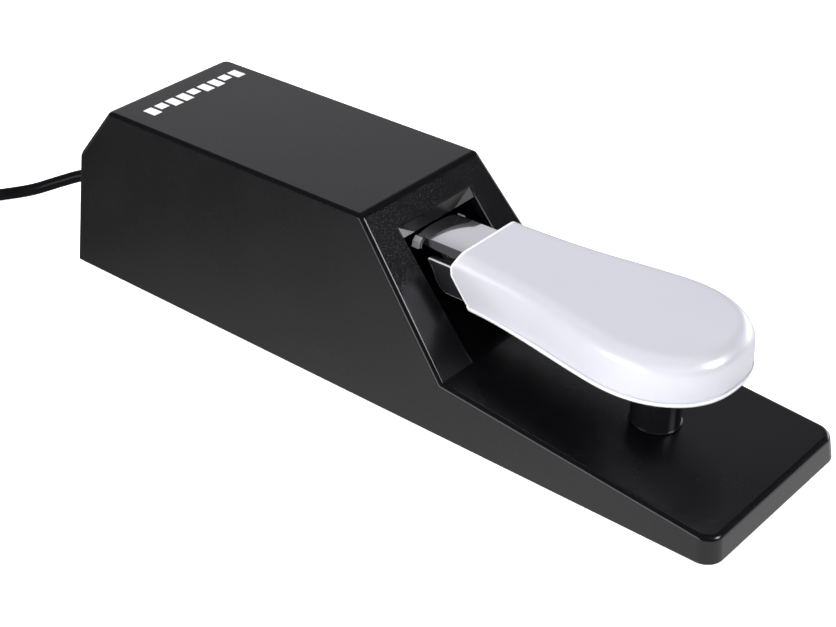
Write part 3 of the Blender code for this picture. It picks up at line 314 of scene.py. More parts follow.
def satin_chrome():
    """Pearl-satin plating: fine even frosting over a pale ground, with faint handling marks."""
    paint = Paint("satin_chrome")
    frost = paint.noise(5200, 2.0)
    cloud = paint.noise(42, 4.0, distortion=0.6)
    hairs = paint.noise(420, 2.0, (1.0, 0.05, 1.0))
    rough = paint.spread(cloud, 0.30, 0.37)
    rough = paint.math("ADD", rough, paint.spread(hairs, 0.0, 0.03))
    paint.set("Metallic", CAP_METAL)
    paint.set("Roughness", rough)
    paint.set("Base Color", paint.mix(cloud, (0.575, 0.58, 0.635), (0.605, 0.61, 0.665)))
    paint.set("Normal", paint.bump(frost, 0.008 * MM, 0.25))
    return paint.material


def chrome():
    """Polished plating on pressed steel, with the slight waviness of the pressing."""
    paint = Paint("polished_chrome")
    waves = paint.noise(55, 1.0, (1.0, 0.6, 1.0))
    hairs = paint.noise(900, 3.0, (0.2, 1.0, 1.0))
    paint.set("Metallic", 1.0)
    paint.set("Base Color", (0.92, 0.92, 0.94, 1.0))
    paint.set("Roughness", paint.spread(hairs, 0.04, 0.09))
    paint.set("Normal", paint.bump(waves, 0.5 * MM, 0.22))
    return paint.material


def zinc_steel():
    paint = Paint("zinc_steel")
    spangle = paint.cells(260, "SMOOTH_F1")
    hairs = paint.noise(1100, 3.0, (0.15, 1.0, 1.0))
    paint.set("Metallic", 1.0)
    paint.set("Base Color", paint.mix(spangle, (0.50, 0.51, 0.54), (0.66, 0.67, 0.69)))
    paint.set("Roughness", paint.spread(hairs, 0.22, 0.38))
    paint.set("Normal", paint.bump(hairs, 0.01 * MM, 0.3, round_edges=0.15 * MM))
    return paint.material


def nickel():
    """Bright turned plating of the jack plug."""
    paint = Paint("turned_nickel")
    rings = paint.noise(2400, 2.0, (1.0, 0.03, 0.03))
    paint.set("Metallic", 1.0)
    paint.set("Base Color", (0.72, 0.70, 0.66, 1.0))
    paint.set("Roughness", paint.spread(rings, 0.10, 0.2))
    paint.set("Normal", paint.bump(rings, 0.004 * MM, 0.3))
    return paint.material


def rubber():
    paint = Paint("black_rubber")
    grain = paint.noise(1800, 4.0)
    dust = paint.noise(90, 4.0)
    paint.set("Base Color", paint.mix(paint.spread(dust, 0.0, 1.0), (0.012, 0.012, 0.013),
                                      (0.024, 0.024, 0.025)))
    paint.set("Roughness", paint.spread(grain, 0.55, 0.75))
    paint.set("Normal", paint.bump(grain, 0.03 * MM, 0.4, round_edges=0.2 * MM))
    return paint.material


def solder_mask():
    paint = Paint("board_green")
    tracks = paint.spread(paint.cells(420, "DISTANCE_TO_EDGE"), 0.0, 1.0, 0.02, 0.06)
    paint.set("Base Color", paint.mix(tracks, (0.02, 0.17, 0.07), (0.02, 0.09, 0.04)))
    paint.set("Roughness", paint.spread(tracks, 0.25, 0.35))
    paint.set("Normal", paint.bump(tracks, 0.03 * MM, 0.5))
    return paint.material


def even(name, noise, colours, rough, relief=None, rounding=0.0, metallic=0.0, specular=0.5):
    """A material whose colour, roughness and relief all follow one noise. Relief is depth and strength."""
    paint = Paint(name)
    grain = paint.noise(*noise)
    paint.set("Metallic", metallic)
    paint.set("Specular IOR Level", specular)
    paint.set("Base Color", paint.mix(grain, *colours))
    paint.set("Roughness", paint.spread(grain, *rough))
    if relief:
        paint.set("Normal", paint.bump(grain, relief[0] * MM, relief[1], round_edges=rounding * MM))
    return paint.material


MATERIALS = {
    "black_plastic": black_plastic(),
    # The same plastic where the mould left it smoother, on the rounded edges
    "edge_plastic": even("edge_plastic", (1800, 2.0), (PLASTIC_DEEP, PLASTIC_PALE), (0.17, 0.21),
                         (0.01, 0.15)),
    # Plain moulded plastic of the bottom plate and the inner parts
    "plate_plastic": even("plate_plastic", (1900, 3.0), (PLASTIC_PALE, (0.012, 0.012, 0.013)),
                          (0.38, 0.48), (0.03, 0.3), 0.3),
    "gloss_plastic": even("gloss_plastic", (300, 2.0, (1, 1, 0.1)),
                          ((0.004, 0.004, 0.005), (0.007, 0.007, 0.008)), (0.10, 0.16), (0.01, 0.3), 0.2),
    "satin_chrome": satin_chrome(),
    # Painted highlight: the rolled lip and the sheet's own edge, in a paler colour than the cap's plating
    "painted_rim_highlight": even("painted_rim_highlight", (2600, 2.0), ((0.82, 0.82, 0.84), (0.88, 0.88, 0.90)), (0.28, 0.36),
                     (0.008, 0.2), metallic=0.2),
    "chromed_steel": chrome(),
    "black_steel": even("black_steel", (500, 2.0), ((0.012, 0.012, 0.014), (0.020, 0.020, 0.022)),
                        (0.32, 0.42), (0.01, 0.2)),
    # Bare steel on the sheared edge of the black sheet, its pale colour also a painted highlight along the
    # flange's rim
    "bare_edge_and_highlight": even("bare_edge_and_highlight", (1500, 2.0, (1.0, 1.0, 0.1)), ((0.60, 0.60, 0.62), (0.80, 0.80, 0.82)),
                       (0.35, 0.5), metallic=0.4),
    "zinc_steel": zinc_steel(),
    "turned_nickel": nickel(),
    "black_rubber": rubber(),
    "gloss_cable": even("cable_sheath", (260, 2.0), ((0.0025, 0.0025, 0.0030), (0.0040, 0.0040, 0.0045)),
                        (0.18, 0.28), (0.05, 0.3), specular=0.15),
    "white_nylon": even("white_nylon", (160, 3.0), ((0.66, 0.65, 0.60), (0.76, 0.75, 0.71)), (0.4, 0.55),
                        (0.02, 0.3), 0.2),
    # Pressed felt with short fibres
    "grey_felt": even("grey_felt", (1400, 5.0, None, 1.5), ((0.22, 0.22, 0.23), (0.30, 0.30, 0.31)),
                      (0.9, 0.9), (0.04, 0.4)),
    "board_green": solder_mask(),
    "red_plastic": even("red_plastic", (200, 3.0), ((0.38, 0.03, 0.02), (0.50, 0.06, 0.04)), (0.35, 0.5),
                        (0.02, 0.3), 0.15),
    # Screen-printed ink with slightly uneven cover
    "printed_white": even("printed_white", (1200, 3.0), ((0.70, 0.70, 0.71), (0.86, 0.86, 0.87)),
                          (0.4, 0.6), (0.01, 0.3)),
}


# ---- mesh tools

def to_object(name, shape):
    """Turn a bmesh into an object in the scene."""
    mesh = bpy.data.meshes.new(name)
    shape.to_mesh(mesh)
    shape.free()
    item = bpy.data.objects.new(name, mesh)
    bpy.context.scene.collection.objects.link(item)
    return item


def solid(shape, name="tool"):
    """An object with its faces turned outwards. Tools that cut or join keep the plain name."""
    bmesh.ops.recalc_face_normals(shape, faces=shape.faces)
    return to_object(name, shape)


def add_piece(name, shape, mat, body, stands_for=(), slot=None, sharp=35.0):
    """Turn a bmesh into a finished piece that rides on a body."""
    item = solid(shape, name)
    finish_piece(item, mat, body, stands_for, slot, sharp)
    return item


def finish_piece(item, mat, body, stands_for=(), slot=None, sharp=35.0, weighted=False):
    """Give a piece its material, smooth shading, body and the CAD nodes it stands for; its slot is not used.
    """
    if not item.data.materials:
        item.data.materials.append(MATERIALS[mat])
    item.data.shade_smooth()
    item.data.set_sharp_from_angle(angle=math.radians(sharp))
    if weighted:
        step = item.modifiers.new("even_normals", "WEIGHTED_NORMAL")
        step.keep_sharp = True
    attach(item, body)
    if stands_for:
        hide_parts(*stands_for)
    slot = slot or mat


def combine(target, other, operation="DIFFERENCE"):
    """Cut a tool from a target, or join it on, and drop the tool."""
    step = target.modifiers.new("combine", "BOOLEAN")
    step.operation = operation
    step.solver = "EXACT"
    step.object = other
    bpy.context.view_layer.update()
    result = target.evaluated_get(bpy.context.evaluated_depsgraph_get())
    mesh = bpy.data.meshes.new_from_object(result)
    target.modifiers.remove(step)
    target.data = mesh
    bpy.data.objects.remove(other, do_unlink=True)


def bridge(shape, low, high):
    """Join two rings with faces. Either ring may be a single point."""
    count = max(len(low), len(high))
    for step in range(count):
        after = (step + 1) % count
        if len(low) == 1:
            shape.faces.new((low[0], high[after], high[step]))
        elif len(high) == 1:
            shape.faces.new((low[step], low[after], high[0]))
        else:
            shape.faces.new((low[step], low[after], high[after], high[step]))


def loft(sections, shape=None):
    """Join closed sections of equal length into one capped solid."""
    shape = shape or bmesh.new()
    rings = [[shape.verts.new(point) for point in section] for section in sections]
    for low, high in zip(rings, rings[1:]):
        bridge(shape, low, high)
    shape.faces.new(list(reversed(rings[0])))
    shape.faces.new(rings[-1])
    bmesh.ops.recalc_face_normals(shape, faces=shape.faces)
    return shape


def box(x, y, z):
    """A box from three (low, high) pairs, in frame coordinates."""
    corners = [(x[0], y[0]), (x[1], y[0]), (x[1], y[1]), (x[0], y[1])]
    return loft([[(a, b, level) for a, b in corners] for level in z])


def turned(profile, place, axis="Z", segments=64, closed=False):
    """Revolve (radius, height) points about an axis through a place."""
    shape = bmesh.new()
    rings = []
    for radius, height in profile:
        if radius == 0.0:
            rings.append([shape.verts.new((0, 0, height))])
            continue
        rings.append([shape.verts.new((radius * math.cos(2 * math.pi * step / segments),
                                       radius * math.sin(2 * math.pi * step / segments), height))
                      for step in range(segments)])
    if closed:
        rings.append(rings[0])
    for low, high in zip(rings, rings[1:]):
        bridge(shape, low, high)
    turn = {"Z": Matrix.Identity(4),
            "X": Matrix.Rotation(math.pi / 2, 4, "Y"),
            "Y": Matrix.Rotation(-math.pi / 2, 4, "X")}[axis]
    shape.transform(Matrix.Translation(place) @ turn)
    return shape


def arc(centre, radius, start, end, steps=5):
    """(x, y) points of an arc, angles in degrees."""
    points = []
    for step in range(steps + 1):
        angle = math.radians(start + (end - start) * step / steps)
        points.append((centre[0] + radius * math.cos(angle), centre[1] + radius * math.sin(angle)))
    return points


def rounded_profile(points, radius, steps=4, limit=0.45):
    """Round the inner corners of an open (x, height) line, using at most a share of each side."""
    line = [points[0]]
    for before, corner, after in zip(points, points[1:], points[2:]):
        here = Vector(corner)
        to_before = Vector(before) - here
        to_after = Vector(after) - here
        reach = min(radius, to_before.length * limit, to_after.length * limit)
        first = here + to_before.normalized() * reach
        last = here + to_after.normalized() * reach
        for step in range(steps + 1):
            share = step / steps
            point = first * (1 - share) ** 2 + here * 2 * share * (1 - share) + last * share ** 2
            line.append((max(point.x, 0.0), point.y))
    line.append(points[-1])
    return line


def sweep(points, radius, sides=24):
    """A round bar along a path with rounded-off ends."""
    points = [Vector(point) for point in points]
    sections = []
    normal = None
    for index, point in enumerate(points):
        before = points[max(index - 1, 0)]
        after = points[min(index + 1, len(points) - 1)]
        along = (after - before).normalized()
        if normal is None:
            normal = along.orthogonal().normalized()
        normal = (normal - along * normal.dot(along)).normalized()
        other = along.cross(normal)
        sections.append([point + radius * (normal * math.cos(2 * math.pi * step / sides)
                                           + other * math.sin(2 * math.pi * step / sides))
                         for step in range(sides)])
    return loft(sections)


def smooth_path(points, steps=10):
    """A Catmull-Rom curve through the given points."""
    points = [Vector(point) for point in points]
    ends = [2 * points[0] - points[1]] + points + [2 * points[-1] - points[-2]]
    path = []
    for index in range(1, len(ends) - 2):
        a, b, c, d = ends[index - 1:index + 3]
        for step in range(steps):
            t = step / steps
            path.append(0.5 * (2 * b + (c - a) * t + (2 * a - 5 * b + 4 * c - d) * t * t
                               + (3 * b - a - 3 * c + d) * t ** 3))
    path.append(points[-1])
    return path


# ---- housing

def side_prism(outline, half_low, draft=0.0):
    """Extrude a (distance, height) outline across the width. The sides lean in by the draft."""
    return loft([[(side * (half_low - draft * height), at(place), up(height)) for place, height in outline]
                 for side in (-1, 1)])


def slope_place(height):
    share = (HEIGHT - height) / (HEIGHT - TONGUE_REAR_HEIGHT)
    return TOP_END + share * (SLOPE_FOOT - TOP_END)


def round_housing(shape):
    """Round the upright front and rear corners first, then every other outer edge but the lowest."""
    front, rear = [], []
    for edge in shape.edges:
        low, high = sorted(edge.verts, key=lambda vert: vert.co.z)
        if high.co.z - low.co.z > 5 * MM:
            if max(low.co.y, high.co.y) < at(LENGTH) + 2 * MM:
                front.append(edge)
            elif min(low.co.y, high.co.y) > at(TOP_START) - 1 * MM:
                rear.append(edge)
    for corners, radius in ((front, CORNER_ROUND), (rear, REAR_ROUND)):
        bmesh.ops.bevel(shape, geom=corners, offset=radius, segments=12, affect="EDGES", profile=0.5)
    shape.normal_update()
    edges = []
    for edge in shape.edges:
        on_floor = all(vert.co.z < up(0.01 * MM) for vert in edge.verts)
        if not on_floor and edge.is_manifold and edge.calc_face_angle_signed() > math.radians(21):
            edges.append(edge)
    bmesh.ops.bevel(shape, geom=edges, offset=EDGE_ROUND, segments=8, affect="EDGES", profile=0.5,
                    material=1)


def round_opening(shell):
    """Round the edge between the sloping front and the opening."""
    shape = bmesh.new()
    shape.from_mesh(shell.data)
    on_slope = Vector((0, at(TOP_END), up(HEIGHT)))
    rim = []
    for edge in shape.edges:
        near = all(abs((vert.co - on_slope).dot(SLOPE_NORMAL)) < 0.01 * MM for vert in edge.verts)
        inside = all(abs(vert.co.x) < OPENING_HALF + 1 * MM for vert in edge.verts)
        low = max(vert.co.z for vert in edge.verts) < up(TONGUE_REAR_HEIGHT + 0.1 * MM)
        outer = [face for face in edge.link_faces if face.normal.dot(SLOPE_NORMAL) > 0.999]
        if near and inside and not low and len(outer) == 1:
            rim.append(edge)
    bmesh.ops.bevel(shape, geom=rim, offset=OPENING_ROUND, segments=4, affect="EDGES", profile=0.5,
                    material=1)
    shape.to_mesh(shell.data)
    shape.free()


def opening_tools():
    """The straight hole, and the pocket with its upright back and corner ledges."""
    hole = [(-OPENING_HALF, TONGUE_REAR_HEIGHT), (-OPENING_HALF, OPENING_SHOULDER_HEIGHT),
            (-LIP_HALF, LIP_HEIGHT), (LIP_HALF, LIP_HEIGHT),
            (OPENING_HALF, OPENING_SHOULDER_HEIGHT), (OPENING_HALF, TONGUE_REAR_HEIGHT)]
    yield loft([[(x, y, up(height)) for x, height in hole]
                for y in (at(LIP_PLACE - 8 * MM), at(SLOPE_FOOT + 12 * MM))])

    pocket = bmesh.new()
    ahead = Vector((0.0, -22 * MM, -0.5 * MM))
    for side in (-1, 1):
        corner = Vector((side * OPENING_HALF, at(slope_place(OPENING_TOP_HEIGHT)), up(OPENING_TOP_HEIGHT)))
        ledge = Vector((side * OPENING_HALF, at(slope_place(OPENING_SHOULDER_HEIGHT)),
                        up(OPENING_SHOULDER_HEIGHT)))
        lip = Vector((side * LIP_HALF, at(LIP_PLACE), up(LIP_HEIGHT)))
        for point in (corner, ledge, lip, corner + SLOPE_NORMAL * 10 * MM, ledge + ahead, lip + ahead):
            pocket.verts.new(point)
    bmesh.ops.convex_hull(pocket, input=pocket.verts[:])
    yield pocket


def housing_shell():
    """The moulded shell. Outlines are (distance from the rear, height)."""
    outline = [(0.0, 0.0), (DRAFT * REAR_WALL_TOP, REAR_WALL_TOP), (TOP_START, HEIGHT), (TOP_END, HEIGHT),
               (SLOPE_FOOT, TONGUE_REAR_HEIGHT),
               (LENGTH - DRAFT * TONGUE_FRONT_HEIGHT, TONGUE_FRONT_HEIGHT), (LENGTH, 0.0)]
    shape = side_prism(outline, WIDTH / 2, DRAFT)
    bmesh.ops.dissolve_limit(shape, angle_limit=math.radians(0.1), verts=shape.verts[:],
                             edges=shape.edges[:])
    round_housing(shape)
    shell = solid(shape, "housing_shell")
    for name in ("black_plastic", "edge_plastic"):
        shell.data.materials.append(MATERIALS[name])
    cavity = [(WALL, -1 * MM), (WALL + DRAFT * REAR_WALL_TOP, REAR_WALL_TOP - 1 * MM),
              (TOP_START + 1.0 * MM, HEIGHT - WALL), (TOP_END - 1.3 * MM, HEIGHT - WALL),
              (SLOPE_FOOT - 1.6 * MM, TONGUE_REAR_HEIGHT - WALL),
              (LENGTH - WALL - DRAFT * TONGUE_FRONT_HEIGHT, TONGUE_FRONT_HEIGHT - WALL),
              (LENGTH - WALL, -1 * MM)]
    combine(shell, solid(side_prism(cavity, WIDTH / 2 - WALL, DRAFT)))
    block_low = LIP_HEIGHT - 0.6 * MM
    block = [(LIP_BLOCK_REAR, block_low), (LIP_BLOCK_REAR, LIP_BLOCK_TOP)]
    block += [(slope_place(height) - 1.2 * MM, height) for height in (LIP_BLOCK_TOP, block_low)]
    combine(shell, solid(side_prism(block, LIP_BLOCK_HALF)), "UNION")
    for cutter in opening_tools():
        combine(shell, solid(cutter))
    round_opening(shell)
    outlet = turned([(0, -6 * MM), (OUTLET_RADIUS, -6 * MM), (OUTLET_RADIUS, 4 * MM), (0, 4 * MM)],
                    (0, at(0), middle("strain_relief").z), "Y", 40)
    combine(shell, solid(outlet))
    finish_piece(shell, "black_plastic", "housing", ["upper_housing"], sharp=28, weighted=True)


# ---- lever, bracket, pads

def lever_top(place):
    return LEVER_TOP - max(place - LEVER_BEND, 0.0) * LEVER_FALL


LEVER_LOW, LEVER_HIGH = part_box("lever_arm")
LEVER_TOP = LEVER_HIGH.z - HOUSING_LOW.z
LEVER_HALF = LEVER_HIGH.x
LEVER_START = REAR - LEVER_HIGH.y
LEVER_END = REAR - LEVER_LOW.y


def lever_depth(place):
    """Depth of the lever's side flanges below its top face."""
    stops = [(LEVER_START, EAR_DEPTH), (62 * MM, EAR_DEPTH), (80 * MM, 6.0 * MM), (100 * MM, 3.6 * MM),
             (142 * MM, 3.6 * MM), (153 * MM, 5.6 * MM), (158 * MM, 5.6 * MM), (160 * MM, 2.6 * MM),
             (LEVER_END + 1 * MM, 2.6 * MM)]
    for (start, first), (end, last) in zip(stops, stops[1:]):
        if place <= end:
            return first + (last - first) * (place - start) / (end - start)
    return stops[-1][1]


def shoulder_line(place, half):
    """The two flats of the right shoulder, from the top face's edge down, as (x, height)."""
    edge = lever_top(place) - LEVER_CROWN
    knee = SHOULDER_KNEE * min(SHOULDER_DEEP, lever_depth(place) - 0.4 * MM) / SHOULDER_DEEP
    return [(half - SHOULDER_WIDE, edge), (half - 0.5 * MM, edge - knee), (half - 0.1 * MM, edge - 2 * knee)]


def lever_section(place, half, spans=8):
    """Inverted channel with a crowned top and two flats on each shoulder."""
    top = lever_top(place)
    low = top - lever_depth(place)
    ceiling = top - LEVER_SHEET
    flat_half = half - SHOULDER_WIDE
    crest = []
    for step in range(1, spans):
        x = flat_half * step / spans
        crest.append((x, top - LEVER_CROWN * (x / flat_half) ** 2))
    flank = crest[-1:] + shoulder_line(place, half) + [(half, low)]
    right = [(0.0, top)] + crest + rounded_profile(flank, SHOULDER_ROUND, 3, 1.0)[1:]
    left = [(-x, height) for x, height in reversed(right[1:])]
    inner_half = half - LEVER_SHEET
    under = [(inner_half, low), (inner_half, max(ceiling - 1.0 * MM, low + 0.1 * MM)),
             (inner_half - 1.0 * MM, ceiling)]
    under += [(-x, height) for x, height in reversed(under)]
    return [(x, at(place), up(height)) for x, height in left + right + under]


def neck_and_lever():
    """The chromed lever. Its sections lie closer together where it bends or changes depth."""
    marks = [0.0, 9.0, 18.0, 24.0, 30.0, 36.0, 46.0, 56.0, 76.0, 98.0, 103.5, 109.0, 114.0, 116.0, 146.0,
             174.0]
    sections = [lever_section(LEVER_START + mark * MM, LEVER_HALF) for mark in marks]
    nose_start = LEVER_START + marks[-1] * MM
    for step in range(1, 12):
        angle = math.pi / 2 * step / 12.2
        sections.append(lever_section(nose_start + LEVER_NOSE * math.sin(angle),
                                      LEVER_HALF - 6 * MM * (1 - math.cos(angle))))
    lever = solid(loft(sections), "chromed_lever")
    pin = middle("pivot_pin")
    hole = turned([(0, -20 * MM), (BUSH_HOLE, -20 * MM), (BUSH_HOLE, 20 * MM), (0, 20 * MM)],
                  (0, pin.y, pin.z), "X", 48)
    combine(lever, solid(hole))
    finish_piece(lever, "chromed_steel", "lever", ["lever_arm"], sharp=32, weighted=True)


def bracket_outline():
    """A flange's outline as (distance from the rear, height)."""
    return [(145.4 * MM, 42.9 * MM), (147.0 * MM, 40.6 * MM), (148.6 * MM, 36.8 * MM),
            (150.0 * MM, 34.7 * MM), (152.3 * MM, BRACKET_LOW), (BRACKET_END, BRACKET_LOW),
            (BRACKET_END, lever_top(BRACKET_END) - 2.9 * MM), (160 * MM, lever_top(160 * MM) - 2.9 * MM),
            (158 * MM, BRACKET_TOP), (146.0 * MM, BRACKET_TOP)]


def side_bracket():
    """Two black flanges with bare sheared edges, painted pale as a highlight, joined by a web under the
    lever.
    """
    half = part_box("pedal_bracket")[1].x
    outline = bracket_outline()
    flanges = bmesh.new()
    for side in (-1, 1):
        outer = side * half
        shape = loft([[(x, at(place), up(height)) for place, height in outline]
                      for x in (side * BRACKET_INNER, outer)])
        rim = [edge for edge in shape.edges if all(abs(vert.co.x - outer) < 1e-7 for vert in edge.verts)]
        # The outer face's rim is bevelled and takes the bare edge material: bare steel with a painted
        # highlight
        bmesh.ops.bevel(shape, geom=rim, offset=BRACKET_TRIM, segments=2, affect="EDGES", profile=0.5,
                        material=1)
        mesh = bpy.data.meshes.new("flange")
        shape.to_mesh(mesh)
        shape.free()
        flanges.from_mesh(mesh)
        bpy.data.meshes.remove(mesh)
    web_top = [(162 * MM, lever_top(160 * MM) - 3.0 * MM),
               (BRACKET_END - 1 * MM, lever_top(BRACKET_END) - 2.9 * MM)]
    web = web_top + [(place, height - BRACKET_SHEET) for place, height in reversed(web_top)]
    loft([[(side * (BRACKET_INNER - 0.02 * MM), at(place), up(height)) for place, height in web]
          for side in (-1, 1)], flanges)
    item = add_piece("side_bracket", flanges, "black_steel", "lever", ["pedal_bracket"], sharp=50)
    # Second slot: bare steel on the sheared rim, its pale colour a painted highlight
    item.data.materials.append(MATERIALS["bare_edge_and_highlight"])


def shoulder_pads():
    """Light pads that lie flat on the lever's shoulders. The far one starts lower, out of sight."""
    for side, label in ((-1, "left"), (1, "right")):
        low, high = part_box("neck_pad_" + label)
        rear, front = REAR - high.y, REAR - low.y
        sections = []
        for place, thin in ((rear, 0.12), (rear + 0.12 * MM, 0.0), (front - 0.12 * MM, 0.0), (front, 0.12)):
            (edge_x, edge), (knee_x, knee), _ = shoulder_line(place, LEVER_HALF)
            bottom = low.z - up(0)
            if side > 0:
                edge_x, edge = edge_x + 0.9 * MM, edge - 1.3 * MM
            inner = [(edge_x + 0.5 * MM, edge - 0.05 * MM), (knee_x + 0.27 * MM, knee + 0.15 * MM),
                     (LEVER_HALF + 0.27 * MM, bottom)]
            reach = PAD_THICK - thin * MM
            outer = [(inner[2][0] + reach, bottom), (inner[1][0] + reach * 0.75, inner[1][1] + reach * 0.5),
                     (inner[0][0] + reach * 1.4, inner[0][1])]
            sections.append([(side * x, at(place), up(height)) for x, height in inner + outer])
        add_piece("felt_pad_" + label, loft(sections), "grey_felt", "lever", ["neck_pad_" + label], sharp=12)


# ---- pedal cap

CAP_RIM_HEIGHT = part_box("pedal_cap")[0].z - HOUSING_LOW.z


def cap_half(along):
    """Half width of the cap's rim at a distance from its rear end."""
    swell = smooth_share((along + 4.3 * MM) / (71.7 * MM))
    half = CAP_REAR_HALF + (CAP_FRONT_HALF - CAP_REAR_HALF) * swell
    nose = max(along - CAP_STRAIGHT, 0.0) / (CAP_LENGTH - CAP_STRAIGHT)
    return half * max(1 - nose ** CAP_NOSE_POWER, 0.0) ** (1 / CAP_NOSE_POWER)


def cap_wall(depth, lip_share, bulge):
    """From the lip up the wall and round the top edge, as (inset, height)."""
    wall_top = depth - CAP_EDGE
    lean = 0.45 * MM
    points = [(0.0, 0.0)]
    points += arc((0.35 * MM, 0.62 * MM), 0.35 * MM, 180, 90, 4)
    points += arc((CAP_LIP - 0.02 * MM, 1.22 * MM), 0.2 * MM, -90, 0, 3)
    for step in range(1, 5):
        points.append((CAP_LIP + 0.18 * MM + (lean - 0.18 * MM) * step / 4,
                       1.4 * MM + (wall_top - 1.4 * MM) * step / 4))
    for step in range(1, 15):
        angle = math.pi / 2 * step / 14
        points.append((CAP_LIP + lean + CAP_EDGE * (1 - math.cos(angle)),
                       wall_top + CAP_EDGE * math.sin(angle)))
    points = [(inset * lip_share if inset < CAP_LIP else inset - CAP_LIP * (1 - lip_share), height)
              for inset, height in points]
    return [(inset - bulge * math.sin(math.pi * height / depth), height) for inset, height in points]


def rear_lean(height):
    """How far the cap's open rear edge reaches back at a height above the rim."""
    share = min(height / CAP_REAR_KNEE, 1.2)
    share -= max(share - 0.8, 0.0) ** 2 / 0.8
    back = 2.5 * MM * smooth_share((height - CAP_REAR_KNEE) / (CAP_REAR_DEPTH - CAP_REAR_KNEE))
    return CAP_REAR_REACH * share - back


def cap_section(along, nose):
    """One cross-section of the cap's outer skin, from the left lip over the top to the right lip."""
    depth = CAP_REAR_DEPTH + (CAP_FRONT_DEPTH - CAP_REAR_DEPTH) * along / CAP_LENGTH
    step = 0.02 * MM
    slope = (cap_half(min(along + step, CAP_LENGTH)) - cap_half(along - step)) / (2 * step)
    tilt = math.hypot(slope, 1.0)
    fade = 1 - smooth_share(along / (22 * MM))
    wall = []
    bulge = CAP_BULGE * smooth_share((along - CAP_STRAIGHT / 2) / (CAP_LENGTH * 0.85 - CAP_STRAIGHT / 2))
    for inset, height in cap_wall(depth, 0.15 + 0.85 * smooth_share(along / (30 * MM)), bulge):
        local = along - inset if nose else along + inset * slope / tilt
        half = 0.0 if nose else max(cap_half(along) - inset / tilt, 0.0)
        wall.append((half, local - rear_lean(height) * fade, height))
    half, local, height = wall[-1]
    spans = 12
    crown = [(half * (1 - 2 * index / spans), local, height) for index in range(1, spans)]
    left = [(-x, y, z) for x, y, z in wall]
    section = left + [(-x, y, z) for x, y, z in crown] + list(reversed(wall))
    return [(x, at(CAP_REAR + y), up(CAP_RIM_HEIGHT + z)) for x, y, z in section]


def foot_cap():
    """The pressed pedal plate, one sheet with a rolled lip."""
    shape = bmesh.new()
    straight, round_part = 40, 56
    stations = [0.0, 0.45 * CAP_RIM, 0.9 * CAP_RIM]
    stations += [CAP_STRAIGHT * step / straight for step in range(1, straight)]
    stations += [CAP_STRAIGHT + (CAP_LENGTH - CAP_STRAIGHT) * math.sin(math.pi / 2 * step / round_part)
                 for step in range(round_part + 1)]
    rows = []
    for index, along in enumerate(stations):
        nose = index == len(stations) - 1
        rows.append([shape.verts.new(point) for point in cap_section(along, nose)])
    for row, (low, high) in enumerate(zip(rows, rows[1:])):
        last = len(low) - 1
        for step in range(last):
            face = shape.faces.new((low[step], low[step + 1], high[step + 1], high[step]))
            on_lip = min(step, last - 1 - step) < CAP_LIP_STEPS
            # The rear rim rows and the lip take the paler rim material, a painted highlight along them
            face.material_index = 1 if row < 2 or on_lip else 0
    bmesh.ops.remove_doubles(shape, verts=shape.verts[:], dist=0.002 * MM)
    bmesh.ops.dissolve_degenerate(shape, edges=shape.edges[:], dist=0.002 * MM)
    cap = add_piece("foot_cap", shape, "satin_chrome", "lever", ["pedal_cap"], sharp=75)
    cap.data.materials.append(MATERIALS["painted_rim_highlight"])
    sheet = cap.modifiers.new("sheet", "SOLIDIFY")
    sheet.thickness = CAP_SHEET - 0.2 * MM
    sheet.offset = -1.0
    # The sheet's cut edge takes the same painted highlight
    sheet.material_offset_rim = 1


# ---- post, spring, feet, screws

def post_and_bumper():
    low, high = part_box("stop_post")
    radius = high.x
    centre = Vector((0, (low.y + high.y) / 2, 0))
    fall = (TONGUE_REAR_HEIGHT - TONGUE_FRONT_HEIGHT) / (LENGTH - SLOPE_FOOT)
    foot = up(TONGUE_REAR_HEIGHT - fall * (REAR - centre.y - SLOPE_FOOT)) + GAP
    profile = [(0, foot), (radius + 0.25 * MM, foot)]
    profile += arc((radius + 0.15 * MM, foot + 0.25 * MM), 0.12 * MM, 0, 90, 3)
    profile += [(radius, foot + 0.45 * MM), (radius, foot + 1.2 * MM)]
    profile += arc((radius - 0.5 * MM, high.z - 0.5 * MM), 0.5 * MM, 0, 90, 5)
    profile += [(0, high.z)]
    shape = turned(profile, centre, segments=96)
    for vert in shape.verts:
        if vert.co.z < foot + 0.5 * MM:
            vert.co.z += (vert.co.y - centre.y) * fall
    add_piece("gloss_post", shape, "gloss_plastic", "housing", ["stop_post"], "black_plastic")
    low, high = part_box("stop_bumper")
    profile = [(0, low.z), (high.x, low.z), (high.x, high.z - 1 * MM), (high.x - 1 * MM, high.z),
               (0, high.z)]
    profile = rounded_profile(profile, 0.5 * MM)
    add_piece("rubber_bumper", turned(profile, centre, segments=72), "black_rubber", "housing",
              ["stop_bumper"])


def coil_spring():
    """Compression spring with closed end turns."""
    low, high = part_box("return_spring")
    wire, turns = SPRING_WIRE, SPRING_TURNS
    centre = (low + high) / 2
    radius = high.x - wire
    per_turn = 36
    closed = 1.8 * wire
    start, end = low.z + wire, high.z - wire
    points = []
    for step in range(int(turns * per_turn) + 1):
        turn = step / per_turn
        share = min(max((turn - 1.0) / (turns - 2.0), 0.0), 1.0)
        rise = start + closed * min(turn, 1.0) + closed * max(turn - turns + 1.0, 0.0) \
            + (end - start - 2 * closed) * share
        angle = 2 * math.pi * turn
        points.append((radius * math.cos(angle), centre.y + radius * math.sin(angle), rise))
    spring = add_piece("coil_spring", sweep(points, wire, 12), "zinc_steel", "housing", ["return_spring"],
                       sharp=50)
    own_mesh(spring)


